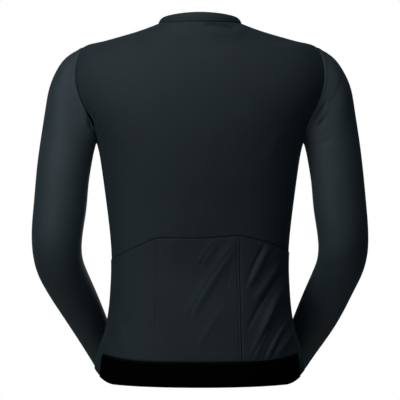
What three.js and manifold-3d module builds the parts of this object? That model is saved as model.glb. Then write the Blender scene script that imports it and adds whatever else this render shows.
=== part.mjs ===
// A men's long-sleeved cycling jersey, size M, filled out as it is worn, with nobody in it.
//
// Millimetres, +Z up. The wearer faces +Y, so the back with its three pockets faces -Y, and the
// wearer's right hand is at +X. The origin lies midway between the two points where the shoulder
// seams meet the collar, because the wearer's shoulders carry the jersey there.
//
// The body is one closed form of horizontal rings from the hem to the neckline. The back, the two
// fronts, the pockets and the hem gripper are patches of it. Each sleeve is a tube of rings that
// starts on the armhole, an oval drawn on the same form. The sleeve is one piece of cloth, and it
// bends at the elbow, so its solid is parted there into two nearly straight tubes, the sleeve and
// its forearm. Every piece of cloth is a closed wall.

import * as THREE from 'three';
import Module from 'manifold-3d';

// Cloth and seams
const CLOTH = 1.2; // thickness of the knit
const GRIPPER_CLOTH = 1.5; // thickness of the elastic band at the back hem
const SEAM_GAP = 0.3; // space between two pieces at a seam
const POCKET_LIFT = 1.0; // space between a pocket and the back panel under it
const MOUTH_LIFT = 0.9; // further space at the pockets' open top edge

// Heights on the body, measured from the origin
const NECK_DROP = -62; // the neckline at the centre front
const UNDERARM = -213; // the lowest point of the armhole
const SHOULDER_TIP = -40.5; // the highest point of the armhole
const GRIPPER_TOP = -598; // the seam between the back panel and the hem gripper

// Rings of the body form, from the hem to the neckline. z is the ring's height at the sides, and
// backRise and frontRise are what it gains at the centre back and the centre front.
const BODY_RINGS = rowsOf(
  ['z', 'backRise', 'frontRise', 'halfWidth', 'back', 'front', 'fullness'],
  [
    [-638, -3, 42, 190, 118, 104, 0.22], // hem
    [-606, -2, 32, 185.5, 115, 103, 0.22],
    [-574, -1, 20, 177, 110, 102, 0.21],
    [-533, 0, 8, 167.5, 102, 101, 0.2],
    [-482, 0, 0, 161.5, 93, 100, 0.2],
    [-425, 0, 0, 159, 88, 100, 0.2], // waist
    [-367, 0, 0, 163, 90, 103, 0.2],
    [-310, 0, 0, 170, 97, 109, 0.21],
    [-252, 0, 0, 178, 106, 116, 0.22], // chest
    [-213, -1, -3, 186.5, 111, 119, 0.22], // underarm
    [-180, -2, -10, 203, 113, 118.5, 0.21],
    [-146, -4, -21, 223, 113, 114, 0.2], // shoulder blades
    [-100, -11, -37, 234.5, 109, 105, 0.17],
    [-62, -14, -50, 225, 100, 93, 0.1],
    [-40.5, -12, -53, 207, 91.5, 81, 0.02], // shoulder tip
    [-33.5, -10, -55, 184, 87, 76, -0.05],
    [-26.5, -8, -57, 157, 81.5, 71, -0.08],
    [-12, -3, -60, 107, 71, 63, -0.06],
    [0, 0, NECK_DROP, 75, 60, 57, 0], // neckline
  ],
);

// The armhole is an oval on the form. Its reach is how far it runs round to the back and front.
const ARMHOLE = { backReach: degrees(24), frontReach: degrees(29), squareness: 0.25 };
const SHOULDER_SEAM_ANGLE = degrees(5);

// Where the side seam runs: angles from the side, negative towards the back
const SIDE_SEAM = rowsOf(
  ['z', 'angle'],
  [
    [-638, -20],
    [-596, -19],
    [-533, -8],
    [-425, -3],
    [-213, 0],
  ],
);

// Pockets, seen from behind. x is measured from the centre back.
const POCKETS = {
  leftSeam: -75, // seam between the left and the centre pocket, at its top
  rightSeam: 68.5, // seam between the centre and the right pocket, at its top
  seamLean: 5, // how much further out both seams are at the bottom
  sideMargin: 2.2, // from the pocket's outer edge to the side seam
  mouthHeight: -386, // height of the open edge at the centre back
  mouthPasses: 6, // passes that settle where a column meets the open edge
  mouthPower: 6, // how soon the cloth leaves the panel towards the open edge
};

// The pockets' open top edge, from the left side seam to the right one
const POCKET_MOUTH = rowsOf(
  ['x', 'z'],
  [
    [-158, -424],
    [-122, -406],
    [-88, -390],
    [-72, -385],
    [0, -386],
    [66, -381.5],
    [78, -383],
    [105, -389],
    [130, -397],
    [158, -410],
  ],
);

// Ridges that the slack pocket cloth makes, from the upper end to the lower end of each
const POCKET_FOLDS = rowsOf(
  ['x0', 'z0', 'x1', 'z1', 'height', 'width'],
  [
    [118, -408, 86, -462, 2.8, 7.5],
    [139, -430, 98, -492, 2.4, 7],
    [150, -462, 108, -548, 2.8, 8],
    [136, -486, 92, -594, 3, 8],
    [149, -532, 116, -592, 2.8, 7],
    [163, -552, 136, -592, 2.4, 6.5],
    [61, -392, -20, -520, 2.8, 9],
    [28, -389, 0, -428, 1.6, 7.5],
    [42, -506, 0, -574, 1.8, 9],
    [-154, -520, -127, -586, 2, 9],
  ],
);

// The crease that hangs under the right half of the collar
const COLLAR_CREASE = { x0: 8, z0: -20, x1: 66, z1: -27, height: 2.4, width: 7 };

// The collar stands on the neckline. These are its top edge and its outward bow.
const COLLAR_TOP = { halfWidth: 67.5, back: 53.5, front: 57, side: 11, backRise: 6, frontRise: -45 };
const COLLAR_BOW = 1.6;

// Rings of the right sleeve. Each runs from a point on the arm's outer side to one on its inner
// side. middleY is the ring's middle, forward of the side seam, and halfDepth its half thickness.
// leftOuter is what the left sleeve adds to outerX.
const SLEEVE_RINGS = rowsOf(
  ['outerX', 'outerZ', 'innerX', 'innerZ', 'middleY', 'halfDepth', 'leftOuter'],
  [
    [207, -40.5, 186.5, -213, 7, 56, 0], // armhole
    [232, -55, 186.6, -214.5, 5, 56, 1],
    [254, -79, 187.4, -217.5, 2, 55.5, 1],
    [269, -108, 188.5, -222.5, -3, 54.5, 0],
    [277.5, -151, 191, -234.5, -10, 52.5, 0],
    [284, -200, 194.5, -256, -19, 51, 0],
    [289.8, -252, 198.5, -287, -29, 49.5, 0.5],
    [295.9, -324, 202.5, -335, -38, 48, 0],
    [299.3, -378, 208.7, -378, -41, 46.5, 0],
    [298.6, -408, 210.6, -400, -37, 45.5, -0.5],
    [292.4, -441, 209.8, -420, -24, 44, 0], // elbow
    [279.8, -474, 204.4, -441, -3, 42, -0.5],
    [263.2, -514, 191.5, -476, 30, 38.5, -5],
    [239.9, -560, 175.6, -521, 66, 34.5, -8],
    [213.3, -602, 159.8, -566, 95, 31.5, -5],
    [198, -627, 149.5, -592, 109, 30, -3.5], // cuff
  ],
);
const ARMHOLE_FADE = 130; // the length over which the armhole's oval turns into plain rings
const ELBOW_ROW = 14; // the sleeve's row at the elbow, where its solid is parted

// Zip
const TAPE = { halfWidth: 3.5, frontEdge: 3.8 };
const SLIDER_HEIGHT = 0.7; // the slider's place on the collar, as a share of its height

// How finely each piece is divided
const TURN_SPREAD = 0.17;
const EDGE_CROWDING = 2.5; // how closely a panel's columns keep to its edge
const GRID = { bodyRows: 15, armholeRows: 12, yokeRows: 5, backColumns: 20, frontColumns: 9 };
const SLEEVE_ROWS = 24;
const SLEEVE_CROWDING = 1.12; // how far the sleeve's rings crowd towards the armhole
const POCKET_GRID = { rows: 22, left: 9, centre: 17, right: 17 };
const COLLAR_GRID = { columns: 38, rows: 3 };
const GRIPPER_ROWS = 3;
const TAPE_ROWS = { body: 26, collar: 3 };

// Helpers

function degrees(value) {
  return (value * Math.PI) / 180;
}

function rowsOf(names, rows) {
  return rows.map((row) => Object.fromEntries(names.map((name, i) => [name, row[i]])));
}

function mix(a, b, share) {
  return a + (b - a) * share;
}

function smoothStep(share) {
  const s = Math.min(Math.max(share, 0), 1);
  return s * s * (3 - 2 * s);
}

// A natural cubic spline through values at rising knots.
function splineThrough(knots, values) {
  const last = knots.length - 1;
  const bend = new Array(last + 1).fill(0);
  const carry = new Array(last + 1).fill(0);
  for (let i = 1; i < last; i += 1) {
    const before = knots[i] - knots[i - 1];
    const after = knots[i + 1] - knots[i];
    const share = before / (before + after);
    const weight = share * bend[i - 1] + 2;
    const turn = (values[i + 1] - values[i]) / after - (values[i] - values[i - 1]) / before;
    bend[i] = (share - 1) / weight;
    carry[i] = ((6 * turn) / (before + after) - share * carry[i - 1]) / weight;
  }
  for (let i = last - 1; i >= 0; i -= 1) bend[i] = bend[i] * bend[i + 1] + carry[i];
  return (knot) => {
    let i = 0;
    while (i < last - 1 && knot > knots[i + 1]) i += 1;
    const span = knots[i + 1] - knots[i];
    const a = (knots[i + 1] - knot) / span;
    const b = (knot - knots[i]) / span;
    const curve = ((a ** 3 - a) * bend[i] + (b ** 3 - b) * bend[i + 1]) * (span ** 2 / 6);
    return a * values[i] + b * values[i + 1] + curve;
  };
}

// A straight-line table: the value of one column at a place in another.
function readTable(rows, key, column, place) {
  let i = 0;
  while (i < rows.length - 2 && place > rows[i + 1][key]) i += 1;
  const share = (place - rows[i][key]) / (rows[i + 1][key] - rows[i][key]);
  return mix(rows[i][column], rows[i + 1][column], Math.min(Math.max(share, 0), 1));
}

// Splines through every column of a table of rings, with the distance run as the knot.
function splineRings(rings, names, distance) {
  const runs = [0];
  for (let i = 1; i < rings.length; i += 1) runs.push(runs[i - 1] + distance(rings[i - 1], rings[i]));
  const curves = Object.fromEntries(
    names.map((name) => [name, splineThrough(runs, rings.map((ring) => ring[name]))]),
  );
  return { length: runs[runs.length - 1], runs, at: curves };
}

// The body form

const body = splineRings(
  BODY_RINGS,
  ['z', 'backRise', 'frontRise', 'halfWidth', 'back', 'front', 'fullness'],
  (a, b) => Math.hypot(b.z - a.z, b.halfWidth - a.halfWidth),
);

// A point on the body form. The angle is 0 at the right side, and negative towards the back.
function bodyPoint(angle, run) {
  const across = Math.cos(angle);
  const forward = Math.sin(angle);
  const back = body.at.back(run);
  const front = body.at.front(run);
  const depth = (back + front) / 2 + ((front - back) / 2) * forward;
  const rise = forward < 0 ? body.at.backRise(run) : body.at.frontRise(run);
  return new THREE.Vector3(
    body.at.halfWidth(run) * across,
    depth * forward * (1 + body.at.fullness(run) * across ** 2),
    body.at.z(run) + rise * forward ** 2,
  );
}

// The outward direction of a surface given as a function of two values.
function outwardOf(surface, first, second, firstStep, secondStep) {
  const alongFirst = surface(first + firstStep, second).sub(surface(first - firstStep, second));
  const alongSecond = surface(first, second + secondStep).sub(surface(first, second - secondStep));
  return alongFirst.cross(alongSecond).normalize();
}

function bodyOutward(angle, run) {
  const place = Math.min(Math.max(run, 0.5), body.length - 0.5);
  return outwardOf(bodyPoint, angle, place, 0.004, 0.5);
}

// The run at which a ring of the form has a given height at its sides.
function runAtHeight(z) {
  let low = 0;
  let high = body.length;
  for (let i = 0; i < 40; i += 1) {
    const middle = (low + high) / 2;
    if (body.at.z(middle) < z) low = middle;
    else high = middle;
  }
  return (low + high) / 2;
}

const underarmRun = runAtHeight(UNDERARM);
const tipRun = runAtHeight(SHOULDER_TIP);
const gripperRun = runAtHeight(GRIPPER_TOP);

// The angle at which a place x from the centre lies, on the back.
function backAngleAt(x, run) {
  return -Math.acos(Math.min(Math.max(x / body.at.halfWidth(run), -1), 1));
}

function sideSeamAngle(run) {
  return degrees(readTable(SIDE_SEAM, 'z', 'angle', body.at.z(run)));
}

// The armhole oval. The turn is 0 at the shoulder tip, half a circle at the underarm, and goes
// down the back and up the front.
function armholePlace(turn) {
  const height = (1 + Math.cos(turn)) / 2;
  const sideways = Math.sin(turn) * (1 + ARMHOLE.squareness * Math.cos(turn) ** 2);
  const reach = sideways > 0 ? ARMHOLE.backReach : ARMHOLE.frontReach;
  return {
    angle: SHOULDER_SEAM_ANGLE * height - sideways * reach,
    run: mix(underarmRun, tipRun, height),
  };
}

// The turns of the points that the sleeve and the panels share, from the underarm to the tip.
// They are spread so that the rows of the panels come out nearly even.
function armholeTurn(i) {
  const share = i / GRID.armholeRows;
  return Math.PI * (1 - share) - TURN_SPREAD * Math.sin(2 * Math.PI * share);
}

// Closed walls

function closedGeometry(points, triangles) {
  let volume = 0;
  for (const [a, b, c] of triangles) volume += points[a].dot(points[b].clone().cross(points[c]));
  const faces = volume < 0 ? triangles.map(([a, b, c]) => [a, c, b]) : triangles;
  const geometry = new THREE.BufferGeometry();
  geometry.setAttribute('position', new THREE.Float32BufferAttribute(points.flatMap((p) => p.toArray()), 3));
  geometry.setIndex(faces.flat());
  geometry.computeVertexNormals();
  return geometry;
}

// A wall between two grids of points, outer and inner. A tube's last column joins its first.
// Each small patch is split along its shorter diagonal, or, on slack cloth, along the folds.
function wallGeometry(outer, inner, isTube, isSlack = false) {
  const rows = outer.length;
  const columns = outer[0].length;
  const points = [...outer.flat(), ...inner.flat()];
  const place = (side, row, column) => side * rows * columns + row * columns + (column % columns);
  const triangles = [];
  const quad = (a, b, c, d) => {
    const isFirstShorter = points[a].distanceTo(points[c]) <= points[b].distanceTo(points[d]);
    if (isSlack || isFirstShorter) triangles.push([a, b, c], [a, c, d]);
    else triangles.push([b, c, d], [b, d, a]);
  };
  const spans = isTube ? columns : columns - 1;
  for (let r = 0; r < rows - 1; r += 1) {
    for (let c = 0; c < spans; c += 1) {
      quad(place(0, r, c), place(0, r, c + 1), place(0, r + 1, c + 1), place(0, r + 1, c));
      quad(place(1, r, c), place(1, r + 1, c), place(1, r + 1, c + 1), place(1, r, c + 1));
    }
  }
  for (let c = 0; c < spans; c += 1) {
    const top = rows - 1;
    quad(place(0, 0, c), place(1, 0, c), place(1, 0, c + 1), place(0, 0, c + 1));
    quad(place(0, top, c), place(0, top, c + 1), place(1, top, c + 1), place(1, top, c));
  }
  if (!isTube) {
    const end = columns - 1;
    for (let r = 0; r < rows - 1; r += 1) {
      quad(place(0, r, 0), place(0, r + 1, 0), place(1, r + 1, 0), place(1, r, 0));
      quad(place(0, r, end), place(1, r, end), place(1, r + 1, end), place(0, r + 1, end));
    }
  }
  return closedGeometry(points, triangles);
}

// A patch of the body form. Places hold an angle and a run, and are lifted off the form.
function patchGeometry(places, thickness, lift = () => 0, isSlack = false) {
  const outer = [];
  const inner = [];
  for (const row of places) {
    const raised = row.map((place) => {
      const point = bodyPoint(place.angle, place.run);
      const outward = bodyOutward(place.angle, place.run);
      const height = lift(point, place);
      return {
        outer: point.clone().addScaledVector(outward, height),
        inner: point.clone().addScaledVector(outward, height - thickness),
      };
    });
    outer.push(raised.map((pair) => pair.outer));
    inner.push(raised.map((pair) => pair.inner));
  }
  return wallGeometry(outer, inner, false, isSlack);
}

function mirrored(geometry) {
  const copy = geometry.clone();
  copy.scale(-1, 1, 1);
  const index = copy.getIndex();
  for (let i = 0; i < index.count; i += 3) {
    const kept = index.getX(i + 1);
    index.setX(i + 1, index.getX(i + 2));
    index.setX(i + 2, kept);
  }
  copy.computeVertexNormals();
  return copy;
}

// A soft ridge along a straight line, seen from behind.
function ridgeAt(fold, x, z) {
  const spanX = fold.x1 - fold.x0;
  const spanZ = fold.z1 - fold.z0;
  const length = Math.hypot(spanX, spanZ);
  const along = ((x - fold.x0) * spanX + (z - fold.z0) * spanZ) / length ** 2;
  const aside = ((x - fold.x0) * spanZ - (z - fold.z0) * spanX) / length;
  const ends = smoothStep((along + 0.12) / 0.3) * smoothStep((1.12 - along) / 0.3);
  return fold.height * Math.exp(-((aside / fold.width) ** 2)) * ends;
}

// Rows of the body panels, from the bottom to the neckline

function panelRuns() {
  const rows = [];
  for (let i = 0; i < GRID.bodyRows; i += 1) {
    rows.push({ run: mix(gripperRun, underarmRun, i / GRID.bodyRows), turn: null });
  }
  for (let i = 0; i <= GRID.armholeRows; i += 1) {
    const turn = i === GRID.armholeRows ? 0 : armholeTurn(i);
    rows.push({ run: armholePlace(turn).run, turn });
  }
  for (let i = 1; i <= GRID.yokeRows; i += 1) {
    rows.push({ run: mix(tipRun, body.length, i / GRID.yokeRows), turn: 0 });
  }
  return rows;
}

// Half a seam gap, as an angle on the form.
function gapAngle(angle, run) {
  const step = 0.01;
  const arc = bodyPoint(angle + step, run).distanceTo(bodyPoint(angle - step, run));
  return (SEAM_GAP / 2) * ((2 * step) / arc);
}

// The outer edge of the back (side -1) or of a front (side 1) on one row.
function panelEdge(row, side) {
  const isOnArmhole = row.turn !== null && row.turn > 0 && row.turn < Math.PI;
  if (isOnArmhole) return armholePlace(side < 0 ? row.turn : -row.turn).angle;
  const seam = row.turn === 0 ? SHOULDER_SEAM_ANGLE : sideSeamAngle(row.run);
  return seam + side * gapAngle(seam, row.run);
}

// A column's angle from the centre line, at a share of the way from it to an edge. Where the edge
// is drawn in, the columns nearest to it take up most of the change.
function columnAngle(share, edgeAngle) {
  const drawnIn = Math.PI / 2 - edgeAngle;
  return (Math.PI / 2) * share - drawnIn * Math.sign(share) * Math.abs(share) ** EDGE_CROWDING;
}

// One row of points on the back, between the edge angles at its two sides.
function backRow(run, edge, columns) {
  const line = [];
  for (let c = 0; c <= columns; c += 1) {
    const angle = columnAngle((2 * c) / columns - 1, Math.PI / 2 + edge) - Math.PI / 2;
    line.push({ angle, run });
  }
  return line;
}

function backGeometry() {
  const rows = panelRuns();
  rows[0].run += SEAM_GAP;
  const places = rows.map((row) => backRow(row.run, panelEdge(row, -1), GRID.backColumns));
  return patchGeometry(places, CLOTH, (point) => ridgeAt(COLLAR_CREASE, point.x, point.z));
}

function frontRightGeometry() {
  const hemRows = [];
  for (let r = 0; r < GRIPPER_ROWS; r += 1) {
    hemRows.push({ run: (gripperRun * r) / GRIPPER_ROWS, turn: null });
  }
  const places = [...hemRows, ...panelRuns()].map((row) => {
    const edge = panelEdge(row, 1);
    const zipAngle = Math.asin(TAPE.frontEdge / body.at.halfWidth(row.run));
    const line = [];
    for (let c = 0; c <= GRID.frontColumns; c += 1) {
      const share = 1 - c / GRID.frontColumns;
      const fromZip = columnAngle(share, Math.PI / 2 - edge) + zipAngle * (1 - share);
      line.push({ angle: Math.PI / 2 - fromZip, run: row.run });
    }
    return line;
  });
  return patchGeometry(places, CLOTH);
}

// The elastic band at the back hem, between the side seams

function gripperGeometry() {
  const places = [];
  for (let r = 0; r <= GRIPPER_ROWS; r += 1) {
    const run = mix(0, gripperRun, r / GRIPPER_ROWS);
    const seam = sideSeamAngle(run);
    places.push(backRow(run, seam - gapAngle(seam, run), GRID.backColumns));
  }
  return patchGeometry(places, GRIPPER_CLOTH, () => GRIPPER_CLOTH - CLOTH);
}

// Pockets

// The angle of a pocket's edge: at a seam between two pockets, or beside a side seam.
function pocketEdge(name, run) {
  const mouthRun = runAtHeight(POCKETS.mouthHeight);
  const lowered = (mouthRun - run) / (mouthRun - gripperRun);
  const lean = POCKETS.seamLean * lowered;
  if (name === 'leftSeam') return backAngleAt(POCKETS.leftSeam - lean, run);
  if (name === 'rightSeam') return backAngleAt(POCKETS.rightSeam + lean, run);
  const seam = sideSeamAngle(run);
  const margin = (POCKETS.sideMargin / (SEAM_GAP / 2)) * gapAngle(seam, run);
  return name === 'rightSide' ? seam - margin : -Math.PI - seam + margin;
}

// One pocket, between two named edges. It lies on the back panel and is lifted off it.
function pocketGeometry(leftName, rightName, columns) {
  const places = [];
  for (let r = 0; r <= POCKET_GRID.rows; r += 1) places.push([]);
  for (let c = 0; c <= columns; c += 1) {
    const share = c / columns;
    let top = runAtHeight(POCKETS.mouthHeight);
    for (let pass = 0; pass < POCKETS.mouthPasses; pass += 1) {
      const angle = mix(pocketEdge(leftName, top), pocketEdge(rightName, top), share);
      const x = bodyPoint(angle, top).x;
      top = runAtHeight(readTable(POCKET_MOUTH, 'x', 'z', x));
    }
    for (let r = 0; r <= POCKET_GRID.rows; r += 1) {
      const run = mix(gripperRun + SEAM_GAP, top, r / POCKET_GRID.rows);
      const left = pocketEdge(leftName, run);
      const right = pocketEdge(rightName, run);
      const inset = gapAngle((left + right) / 2, run);
      places[r][c] = { angle: mix(left + inset, right - inset, share), run, height: r / POCKET_GRID.rows };
    }
  }
  const liftAt = (point, { height }) => {
    const ridges = POCKET_FOLDS.reduce((sum, fold) => sum + ridgeAt(fold, point.x, point.z), 0);
    return POCKET_LIFT + MOUTH_LIFT * height ** POCKETS.mouthPower + ridges + CLOTH;
  };
  return patchGeometry(places, CLOTH, liftAt, true);
}

// Collar

function collarPoint(angle, height) {
  const across = Math.cos(angle);
  const forward = Math.sin(angle);
  const base = bodyPoint(angle, body.length);
  const middle = (COLLAR_TOP.back + COLLAR_TOP.front) / 2;
  const depth = middle + ((COLLAR_TOP.front - COLLAR_TOP.back) / 2) * forward;
  const rise = forward < 0 ? COLLAR_TOP.backRise : COLLAR_TOP.frontRise;
  const top = new THREE.Vector3(
    COLLAR_TOP.halfWidth * across,
    depth * forward,
    COLLAR_TOP.side + rise * forward ** 2,
  );
  const point = base.lerp(top, height);
  const bow = COLLAR_BOW * 4 * height * (1 - height);
  return point.add(new THREE.Vector3(across * bow, forward * bow, 0));
}

function collarOutward(angle, height) {
  const place = Math.min(Math.max(height, 0.03), 0.97);
  return outwardOf(collarPoint, angle, place, 0.004, 0.03);
}

function collarGeometry() {
  const frontAngle = Math.acos(TAPE.frontEdge / COLLAR_TOP.halfWidth);
  const outer = [];
  const inner = [];
  for (let r = 0; r <= COLLAR_GRID.rows; r += 1) {
    const outerLine = [];
    const innerLine = [];
    for (let c = 0; c <= COLLAR_GRID.columns; c += 1) {
      const angle = mix(frontAngle, -Math.PI - frontAngle, c / COLLAR_GRID.columns);
      const start = SEAM_GAP / collarPoint(angle, 1).distanceTo(collarPoint(angle, 0));
      const height = mix(start, 1, r / COLLAR_GRID.rows);
      const point = collarPoint(angle, height);
      outerLine.push(point);
      innerLine.push(point.clone().addScaledVector(collarOutward(angle, height), -CLOTH));
    }
    outer.push(outerLine);
    inner.push(innerLine);
  }
  return wallGeometry(outer, inner, false);
}

// Sleeves

const sleeve = splineRings(
  SLEEVE_RINGS,
  ['outerX', 'outerZ', 'innerX', 'innerZ', 'middleY', 'halfDepth', 'leftOuter'],
  (a, b) =>
    Math.hypot(
      (b.outerX + b.innerX - a.outerX - a.innerX) / 2,
      (b.outerZ + b.innerZ - a.outerZ - a.innerZ) / 2,
      b.middleY - a.middleY,
    ),
);

function sleeveFrame(run, isLeft) {
  const extra = isLeft ? sleeve.at.leftOuter(run) : 0;
  const outer = new THREE.Vector3(sleeve.at.outerX(run) + extra, 0, sleeve.at.outerZ(run));
  const inner = new THREE.Vector3(sleeve.at.innerX(run), 0, sleeve.at.innerZ(run));
  const centre = outer.clone().add(inner).multiplyScalar(0.5).setY(sleeve.at.middleY(run));
  return { centre, outer, inner };
}

// A point on a plain ring of the sleeve. The turn is 0 at the outer side and goes round by the back.
function sleeveRingPoint(turn, run, isLeft) {
  const { centre, outer, inner } = sleeveFrame(run, isLeft);
  const step = 2;
  const low = Math.max(run - step, 0);
  const high = Math.min(run + step, sleeve.length);
  const along = sleeveFrame(high, isLeft).centre.sub(sleeveFrame(low, isLeft).centre);
  const width = outer.clone().sub(inner);
  const halfWidth = width.length() / 2;
  width.normalize();
  const backward = new THREE.Vector3().crossVectors(along, width).normalize();
  return centre
    .addScaledVector(width, halfWidth * Math.cos(turn))
    .addScaledVector(backward, sleeve.at.halfDepth(run) * Math.sin(turn));
}

// The sleeve starts on the armhole's oval and eases into its plain rings.
function sleevePoint(turn, run, isLeft) {
  const place = armholePlace(turn);
  const shift = bodyPoint(place.angle, place.run).sub(sleeveRingPoint(turn, 0, isLeft));
  const fade = 1 - smoothStep(run / ARMHOLE_FADE);
  return sleeveRingPoint(turn, run, isLeft).addScaledVector(shift, fade);
}

// The stretch of a sleeve between two of its rows
function sleeveGeometry(isLeft, firstRow, lastRow) {
  const surface = (turn, run) => sleevePoint(turn, run, isLeft);
  const turns = [];
  for (let i = GRID.armholeRows; i > 0; i -= 1) turns.push(i === GRID.armholeRows ? 0 : armholeTurn(i));
  for (let i = 0; i < GRID.armholeRows; i += 1) turns.push(2 * Math.PI - armholeTurn(i));
  const outer = [];
  const inner = [];
  for (let r = firstRow; r <= lastRow; r += 1) {
    const run = sleeve.length * (r / SLEEVE_ROWS) ** SLEEVE_CROWDING;
    const outerLine = [];
    const innerLine = [];
    for (const turn of turns) {
      const place = Math.min(Math.max(run, 0.5), sleeve.length - 0.5);
      const outward = outwardOf(surface, turn, place, 0.01, 0.5);
      const point = surface(turn, run);
      if (r === firstRow) {
        const towards = surface(turn, run + 4).sub(point).normalize();
        point.addScaledVector(towards, SEAM_GAP);
      }
      outerLine.push(point);
      innerLine.push(point.clone().addScaledVector(outward, -CLOTH));
    }
    outer.push(outerLine);
    inner.push(innerLine);
  }
  return wallGeometry(outer, inner, true);
}

// Zip: the strip of tape and teeth between the fronts, the slider, and its hanging pull

function tapeGeometry() {
  const profile = [];
  for (let r = 0; r < TAPE_ROWS.body; r += 1) {
    profile.push(bodyPoint(Math.PI / 2, (body.length * r) / TAPE_ROWS.body));
  }
  for (let r = 0; r <= TAPE_ROWS.collar; r += 1) {
    profile.push(collarPoint(Math.PI / 2, r / TAPE_ROWS.collar));
  }
  const outer = [];
  const inner = [];
  profile.forEach((point, i) => {
    const before = profile[Math.max(i - 1, 0)];
    const after = profile[Math.min(i + 1, profile.length - 1)];
    const along = after.clone().sub(before).normalize();
    const outward = new THREE.Vector3(0, along.z, -along.y);
    const back = point.clone().addScaledVector(outward, -CLOTH);
    outer.push([-TAPE.halfWidth, TAPE.halfWidth].map((x) => point.clone().setX(x)));
    inner.push([-TAPE.halfWidth, TAPE.halfWidth].map((x) => back.clone().setX(x)));
  });
  return wallGeometry(outer, inner, false);
}

// The slider's own frame: y points out of the cloth and z points up the zip.
const SLIDER = { width: 8, length: 10, plateBack: 0.4, plateFront: 2, bridgeWidth: 2.4 };
const BRIDGE = { centre: -0.5, reach: 3.7, leg: 1.2, top: 5.2, bar: 1, corner: 0.6, sunk: 0.5 };
const PULL = { pivotY: 3.1, width: 5, thick: 1.2, barSide: 0.9, window: 4.1, length: 18 };
const PULL_TIP = { height: 2.2, inset: 1.6 };

// A side view of the slider, drawn as (z, y) and extruded across x.
function extrudeAcross(shape, width) {
  const geometry = new THREE.ExtrudeGeometry(shape, { depth: width, bevelEnabled: false });
  geometry.translate(0, 0, -width / 2);
  geometry.applyMatrix4(new THREE.Matrix4().set(0, 0, 1, 0, 0, 1, 0, 0, 1, 0, 0, 0, 0, 0, 0, 1));
  return geometry;
}

function rectangle(x0, y0, x1, y1) {
  const shape = new THREE.Shape();
  shape.moveTo(x0, y0).lineTo(x1, y0).lineTo(x1, y1).lineTo(x0, y1).closePath();
  return shape;
}

// Points merged and faces turned outwards, ready for joining.
function solidFrom(geometry, wasm) {
  const points = [];
  const places = new Map();
  const source = geometry.getAttribute('position');
  const corners = [];
  for (let i = 0; i < source.count; i += 1) {
    const corner = [source.getX(i), source.getY(i), source.getZ(i)];
    const key = corner.map((value) => value.toFixed(4)).join(' ');
    if (!places.has(key)) {
      places.set(key, points.length);
      points.push(corner);
    }
    corners.push(places.get(key));
  }
  let volume = 0;
  for (let i = 0; i < corners.length; i += 3) {
    const [a, b, c] = [0, 1, 2].map((k) => new THREE.Vector3(...points[corners[i + k]]));
    volume += a.dot(b.cross(c));
  }
  if (volume < 0) {
    for (let i = 0; i < corners.length; i += 3) {
      [corners[i + 1], corners[i + 2]] = [corners[i + 2], corners[i + 1]];
    }
  }
  const mesh = new wasm.Mesh({
    numProp: 3,
    vertProperties: new Float32Array(points.flat()),
    triVerts: new Uint32Array(corners),
  });
  return new wasm.Manifold(mesh);
}

function geometryFrom(solid) {
  const { vertProperties, triVerts } = solid.getMesh();
  const geometry = new THREE.BufferGeometry();
  geometry.setAttribute('position', new THREE.Float32BufferAttribute(vertProperties, 3));
  geometry.setIndex([...triVerts]);
  geometry.computeVertexNormals();
  return geometry;
}

function sliderGeometry(wasm) {
  const half = SLIDER.length / 2;
  const plate = extrudeAcross(rectangle(-half, SLIDER.plateBack, half, SLIDER.plateFront), SLIDER.width);
  const { leg, top, bar, corner } = BRIDGE;
  const low = BRIDGE.centre - BRIDGE.reach;
  const high = BRIDGE.centre + BRIDGE.reach;
  const root = SLIDER.plateFront - BRIDGE.sunk;
  const bridge = new THREE.Shape();
  bridge.moveTo(low, root).lineTo(low, top - corner).lineTo(low + corner, top);
  bridge.lineTo(high - corner, top).lineTo(high, top - corner).lineTo(high, root);
  bridge.lineTo(high - leg, root).lineTo(high - leg, top - bar);
  bridge.lineTo(low + leg, top - bar).lineTo(low + leg, root).closePath();
  const joined = solidFrom(plate, wasm).add(solidFrom(extrudeAcross(bridge, SLIDER.bridgeWidth), wasm));
  return geometryFrom(joined);
}

// The pull hangs from the bridge by a window. It is drawn in x and z, with the pivot at the origin.
function pullGeometry() {
  const half = PULL.width / 2;
  const bar = PULL.thick / 2;
  const inside = half - PULL.barSide;
  const outline = new THREE.Shape();
  const shoulder = -PULL.length + PULL_TIP.height;
  outline.moveTo(-half, bar).lineTo(-half, shoulder).lineTo(-half + PULL_TIP.inset, -PULL.length);
  outline.lineTo(half - PULL_TIP.inset, -PULL.length).lineTo(half, shoulder);
  outline.lineTo(half, bar).closePath();
  const gap = new THREE.Path();
  gap.moveTo(-inside, -bar).lineTo(inside, -bar);
  gap.lineTo(inside, -bar - PULL.window).lineTo(-inside, -bar - PULL.window).closePath();
  outline.holes.push(gap);
  const geometry = new THREE.ExtrudeGeometry(outline, { depth: PULL.thick, bevelEnabled: false });
  geometry.translate(0, 0, -PULL.thick / 2);
  geometry.rotateX(Math.PI / 2);
  return geometry;
}

// Finishes

const jerseyKnit = new THREE.MeshStandardMaterial({ color: 0x22282c, roughness: 0.78, metalness: 0 });
const sleeveKnit = new THREE.MeshStandardMaterial({ color: 0x262b30, roughness: 0.72, metalness: 0 });
const gripperElastic = new THREE.MeshStandardMaterial({ color: 0x050506, roughness: 0.9, metalness: 0 });
const zipTape = new THREE.MeshStandardMaterial({ color: 0x0e0f11, roughness: 0.6, metalness: 0 });
const zipMetal = new THREE.MeshStandardMaterial({ color: 0x17181a, roughness: 0.4, metalness: 0.6 });

const jersey = new THREE.Group();

function addPiece(name, geometry, material, parent = jersey) {
  const mesh = new THREE.Mesh(geometry, material);
  mesh.name = name;
  parent.add(mesh);
  return mesh;
}

const wasm = await Module();
wasm.setup();

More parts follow.
